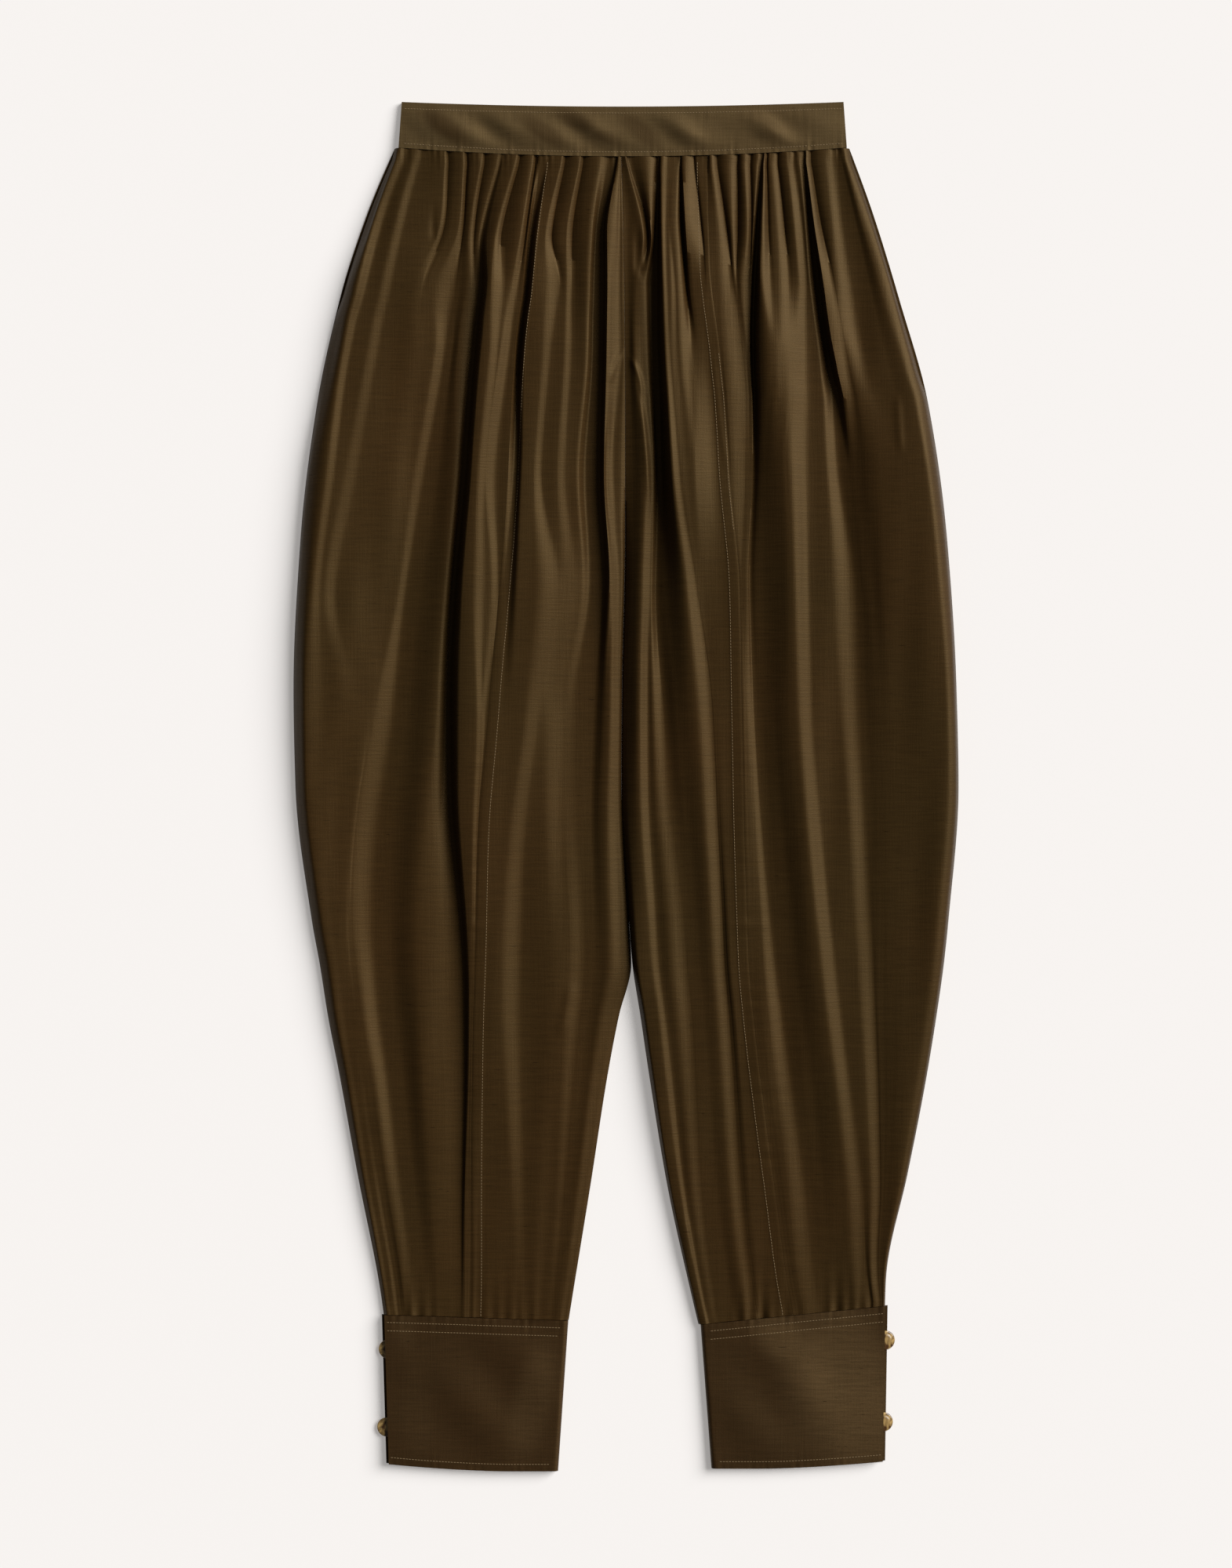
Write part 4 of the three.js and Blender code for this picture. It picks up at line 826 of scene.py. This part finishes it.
def unit(vectors):
    return vectors / np.maximum(np.linalg.norm(vectors, axis=1, keepdims=True), 1e-9)


def stitches(name, paths):
    """One joined mesh of stitches along several paths of points in millimetres."""
    bar, faces = stitch_bar()
    points = []
    for path in paths:
        path = np.asarray(path, float)
        gaps = np.linalg.norm(np.diff(path, axis=0), axis=1)
        run = np.concatenate([[0], np.cumsum(gaps)])

        def at(distance):
            return np.stack([np.interp(distance, run, path[:, k]) for k in range(3)], axis=1)

        centres = np.arange(STITCH["pitch"] / 2, run[-1], STITCH["pitch"])
        along = unit(at(centres + STITCH_REACH) - at(centres - STITCH_REACH))
        side = unit(np.cross((0, 0, 1.0), along))
        up = np.cross(along, side)
        rise = bar[:, 2:] + STITCH["height"] / 2 - STITCH["sink"]
        for p, a, s, u in zip(at(centres), along, side, up):
            points.append(p + bar[:, :1] * a + bar[:, 1:2] * s + rise * u)
    count = len(points)
    all_faces = (faces[None] + (np.arange(count) * len(bar))[:, None, None]).reshape(-1, 4)
    return mesh_object(name, np.concatenate(points) * MM, all_faces, thread, sharp=50)


def on_grid(grid, row, x):
    """The point of one grid row at a place across the garment."""
    xs, ys, zs = grid[row, np.argsort(grid[row, :, 0])].T
    return np.array([x, np.interp(x, xs, ys), np.interp(x, xs, zs)])


def band_stitch_paths(top):
    """The paths of the waistband's two rows of stitches, on its top face."""
    x, upper, lower = top[0, :, 0], top[0, :, 1], top[-1, :, 1]
    paths = []
    for y in (upper - BAND_STITCH["top"], lower + BAND_STITCH["bottom"]):
        path = []
        for c in range(1, top.shape[1] - 1):
            path.append((x[c], y[c], np.interp(y[c], top[::-1, c, 1], top[::-1, c, 2])))
        paths.append(path)
    return paths


# Silk streaks: scale along x, y and z, detail, and the noise values between which they rise from 0 to 1
STREAKS = dict(
    weft=((55, 900, 55), 2.0, 0.3, 0.7),
    warp=((800, 30, 60), 2.0, 0.3, 0.7),
    slub=((95, 1150, 60), 1.0, 0.755, 0.8),
    grain=((1500, 1900, 900), 1.0, 0.25, 0.75),
    patches=((7, 5, 7), 2.0, 0.35, 0.65),
)
# How far the weft and grain together darken the cloth, and how deep its weave is
STREAK_SHARE = 0.3
WEAVE = dict(strength=0.2, depth=0.0002)
GLOSS = (1, 0.68, 0.3, 1)
# Silk colours: deep in the streaks, warm and olive slowly changing places, and the painted light in the
# patches: painted shade on the waistband, painted highlight on the cuffs
SILKS = dict(
    leg=dict(
        deep=(0.0122, 0.006, 0.002, 1), warm=(0.0448, 0.022, 0.0065, 1), olive=(0.04, 0.022, 0.0065, 1),
        roughness=0.47, specular=0.22,
    ),
    # The waistband's copy is lighter all over: painted sheen, for the light that its grain, running the other
    # way, catches
    band=dict(
        deep=(0.024, 0.0132, 0.0048, 1), warm=(0.074, 0.0455, 0.0186, 1), olive=(0.067, 0.0444, 0.0186, 1),
        roughness=0.56, specular=0.5, painted_light_tone=(0.022, 0.0105, 0.003, 1),
    ),
    cuff=dict(
        deep=(0.0095, 0.0045, 0.0018, 1), warm=(0.0345, 0.0163, 0.0056, 1), olive=(0.0325, 0.0163, 0.0058, 1),
        roughness=0.52, specular=0.33, painted_light_tone=(0.098, 0.0585, 0.0245, 1),
    ),
)

# Painted light on the silk: patches of painted shade on the waistband and of painted highlight on the cuffs,
# where the cloth lies away from or towards the light: place, half length and width, turn, strength
BAND_PAINTED_SHADE = [
    (-140.8, 516.0, 30, 12, -37, 0.9),
    (-64.0, 512.3, 30, 10, -34, 0.9),
    (-40.6, 522.0, 24, 10, -27, 0.7),
    (-13.5, 507.4, 18, 7, -22, 0.6),
    (11.0, 513.5, 28, 11, -37, 0.9),
    (115.6, 513.5, 17, 8, -45, 0.5),
]
CUFF_PAINTED_HIGHLIGHT = [
    (-163.6, -493.2, 50, 18, 90, 0.1),
    (-172.0, -422.5, 24, 12, 90, 0.15),
    (-72.0, -479.7, 70, 22, 76, 0.3),
    (128.0, -436.0, 50, 26, -40, 0.6),
    (172.0, -472.0, 92, 60, -64, 0.85),
]
# A patch is whole up to this share of its half size
PATCH_CORE = 0.3


def nodes_of(name):
    material = bpy.data.materials.new(name)
    material.use_nodes = True
    tree = material.node_tree
    return material, tree, tree.nodes["Principled BSDF"]


def link(tree, start, end):
    tree.links.new(start, end)


def combine(tree, operation, first, second):
    """A maths node of two sockets, or of a socket and a number."""
    node = tree.nodes.new("ShaderNodeMath")
    node.operation = operation
    for socket, value in zip(node.inputs, (first, second)):
        if isinstance(value, float):
            socket.default_value = value
        else:
            link(tree, value, socket)
    return node.outputs["Value"]


def mix_colors(tree, factor, first, second):
    """A colour between two, each of which is a socket or a colour."""
    node = tree.nodes.new("ShaderNodeMix")
    node.data_type = "RGBA"
    sockets = [s for s in node.inputs if s.enabled]
    for socket, value in zip(sockets, (factor, first, second)):
        if isinstance(value, tuple):
            socket.default_value = value
        else:
            link(tree, value, socket)
    return next(s for s in node.outputs if s.enabled)


def streaks(tree, coords, scale, detail, low, high):
    """Noise drawn out along one axis, as a factor from 0 to 1."""
    mapping = tree.nodes.new("ShaderNodeMapping")
    mapping.inputs["Scale"].default_value = scale
    link(tree, coords, mapping.inputs["Vector"])
    noise = tree.nodes.new("ShaderNodeTexNoise")
    noise.inputs["Scale"].default_value = 1.0
    noise.inputs["Detail"].default_value = detail
    link(tree, mapping.outputs["Vector"], noise.inputs["Vector"])
    ramp = tree.nodes.new("ShaderNodeMapRange")
    ramp.inputs["From Min"].default_value = low
    ramp.inputs["From Max"].default_value = high
    link(tree, noise.outputs["Fac"], ramp.inputs["Value"])
    return ramp.outputs["Result"]


def painted_light_patches(tree, coords, places):
    """A factor for painted light: highest in the middle of each patch, and fading to 0 at its edge."""
    total = None
    for x, y, long, wide, turn, strength in places:
        mapping = tree.nodes.new("ShaderNodeMapping")
        mapping.vector_type = "TEXTURE"
        mapping.inputs["Location"].default_value = (x * MM, y * MM, 0)
        mapping.inputs["Rotation"].default_value = (0, 0, math.radians(turn))
        mapping.inputs["Scale"].default_value = (long * MM, wide * MM, 1)
        link(tree, coords, mapping.inputs["Vector"])
        length = tree.nodes.new("ShaderNodeVectorMath")
        length.operation = "LENGTH"
        link(tree, mapping.outputs["Vector"], length.inputs[0])
        fade = tree.nodes.new("ShaderNodeMapRange")
        fade.interpolation_type = "SMOOTHSTEP"
        fade.inputs["From Min"].default_value = 1.0
        fade.inputs["From Max"].default_value = PATCH_CORE
        fade.inputs["To Max"].default_value = strength
        link(tree, length.outputs["Value"], fade.inputs["Value"])
        patch = fade.outputs["Result"]
        total = patch if total is None else combine(tree, "MAXIMUM", total, patch)
    return total


def silk_material(name, deep, warm, olive, roughness, specular, painted_light_tone=None, places=()):
    """Shot silk: fine streaks and dark slubs along the weft, over two colours that change slowly."""
    material, tree, shader = nodes_of(name)
    coords = tree.nodes.new("ShaderNodeTexCoord").outputs["Object"]
    weft, warp, slub, grain, patches = (streaks(tree, coords, *row) for row in STREAKS.values())

    base = mix_colors(tree, patches, warm, olive)
    # Painted light: the patches darken the waistband as painted shade and lighten the cuffs as painted
    # highlight
    if places:
        base = mix_colors(tree, painted_light_patches(tree, coords, places), base, painted_light_tone)
    threads = combine(tree, "ADD", weft, grain)
    streaked = mix_colors(tree, combine(tree, "MULTIPLY", threads, STREAK_SHARE), base, deep)
    link(tree, mix_colors(tree, slub, streaked, deep), shader.inputs["Base Color"])

    bump = tree.nodes.new("ShaderNodeBump")
    bump.inputs["Strength"].default_value = WEAVE["strength"]
    bump.inputs["Distance"].default_value = WEAVE["depth"]
    link(tree, combine(tree, "ADD", threads, warp), bump.inputs["Height"])
    link(tree, bump.outputs["Normal"], shader.inputs["Normal"])
    shader.inputs["Roughness"].default_value = roughness
    shader.inputs["IOR"].default_value = 1.5
    shader.inputs["Specular IOR Level"].default_value = specular
    shader.inputs["Specular Tint"].default_value = GLOSS
    return material


def plain_material(name, color, roughness, specular=0.5):
    material, tree, shader = nodes_of(name)
    shader.inputs["Base Color"].default_value = color
    shader.inputs["Roughness"].default_value = roughness
    shader.inputs["Specular IOR Level"].default_value = specular
    return material


# Horn: brown and gold, and the noise values at which they are pure
HORN = dict(brown=(0.06, 0.026, 0.008, 1), brown_at=0.4, gold=(0.5, 0.33, 0.12, 1), gold_at=0.62)


def horn_material(name):
    """Polished horn, marbled in brown and gold."""
    material, tree, shader = nodes_of(name)
    coords = tree.nodes.new("ShaderNodeTexCoord")
    noise = tree.nodes.new("ShaderNodeTexNoise")
    noise.inputs["Scale"].default_value = 95
    noise.inputs["Detail"].default_value = 3
    noise.inputs["Distortion"].default_value = 1.4
    link(tree, coords.outputs["Object"], noise.inputs["Vector"])
    ramp = tree.nodes.new("ShaderNodeValToRGB")
    ramp.color_ramp.elements[0].position = HORN["brown_at"]
    ramp.color_ramp.elements[0].color = HORN["brown"]
    ramp.color_ramp.elements[1].position = HORN["gold_at"]
    ramp.color_ramp.elements[1].color = HORN["gold"]
    link(tree, noise.outputs["Fac"], ramp.inputs["Fac"])
    link(tree, ramp.outputs["Color"], shader.inputs["Base Color"])
    shader.inputs["Roughness"].default_value = 0.2
    return material


# The stage, in metres and degrees: a pale floor that glows a little, and a wide soft sun
FLOOR = dict(
    size=30.0, level=-0.0002, paper=(0.66, 0.637, 0.62, 1), glow=(1, 0.96, 0.93, 1), glow_strength=0.3,
)
SKY_STRENGTH = 0.09
SUN = dict(energy=4.85, angle=40, elevation=34, azimuth=28)
CAMERA = dict(lens=85, sensor=36, view_height=1.230, x=-0.0077, y=0.0018)


def stage_set():
    """The pale floor, the camera straight above and soft light from the upper right."""
    scene = bpy.context.scene
    bpy.ops.mesh.primitive_plane_add(size=FLOOR["size"], location=(0, 0, FLOOR["level"]))
    floor = bpy.context.object
    floor.name = "floor"
    paper = plain_material("floor_paper", FLOOR["paper"], 0.9)
    shader = paper.node_tree.nodes["Principled BSDF"]
    shader.inputs["Emission Color"].default_value = FLOOR["glow"]
    shader.inputs["Emission Strength"].default_value = FLOOR["glow_strength"]
    floor.data.materials.append(paper)

    world = bpy.data.worlds.new("studio")
    world.use_nodes = True
    world.node_tree.nodes["Background"].inputs["Color"].default_value = (1, 1, 1, 1)
    world.node_tree.nodes["Background"].inputs["Strength"].default_value = SKY_STRENGTH
    scene.world = world

    sun = bpy.data.lights.new("key", "SUN")
    sun.energy = SUN["energy"]
    sun.angle = math.radians(SUN["angle"])
    key = bpy.data.objects.new("key", sun)
    key.rotation_euler = (0, math.radians(90 - SUN["elevation"]), math.radians(SUN["azimuth"]))
    scene.collection.objects.link(key)
    scene.view_settings.view_transform = "Standard"

    camera = bpy.data.cameras.new("camera")
    camera.lens = CAMERA["lens"]
    camera.sensor_width = CAMERA["sensor"]
    eye = bpy.data.objects.new("camera", camera)
    eye.location = (CAMERA["x"], CAMERA["y"], CAMERA["view_height"] * camera.lens / camera.sensor_width)
    scene.collection.objects.link(eye)
    scene.camera = eye


stage_set()
silk = silk_material("shot_silk", **SILKS["leg"])
band_silk = silk_material("shot_silk_band", **SILKS["band"], places=BAND_PAINTED_SHADE)
cuff_silk = silk_material("shot_silk_cuff", **SILKS["cuff"], places=CUFF_PAINTED_HIGHLIGHT)
thread = plain_material("thread", (0.19, 0.13, 0.066, 1), 0.75, 0.15)
horn = horn_material("horn")

stitch_paths = []
for side in SIDES:
    stitch_paths += add_front(side)
    add_back(side)
    stitch_paths += add_cuff(side)
stitch_paths += band_stitch_paths(add_waistband())
for place in BUTTON_PLACES:
    add_button(*place)

seams = stitches("thread_seams", stitch_paths)
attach(seams, "root")
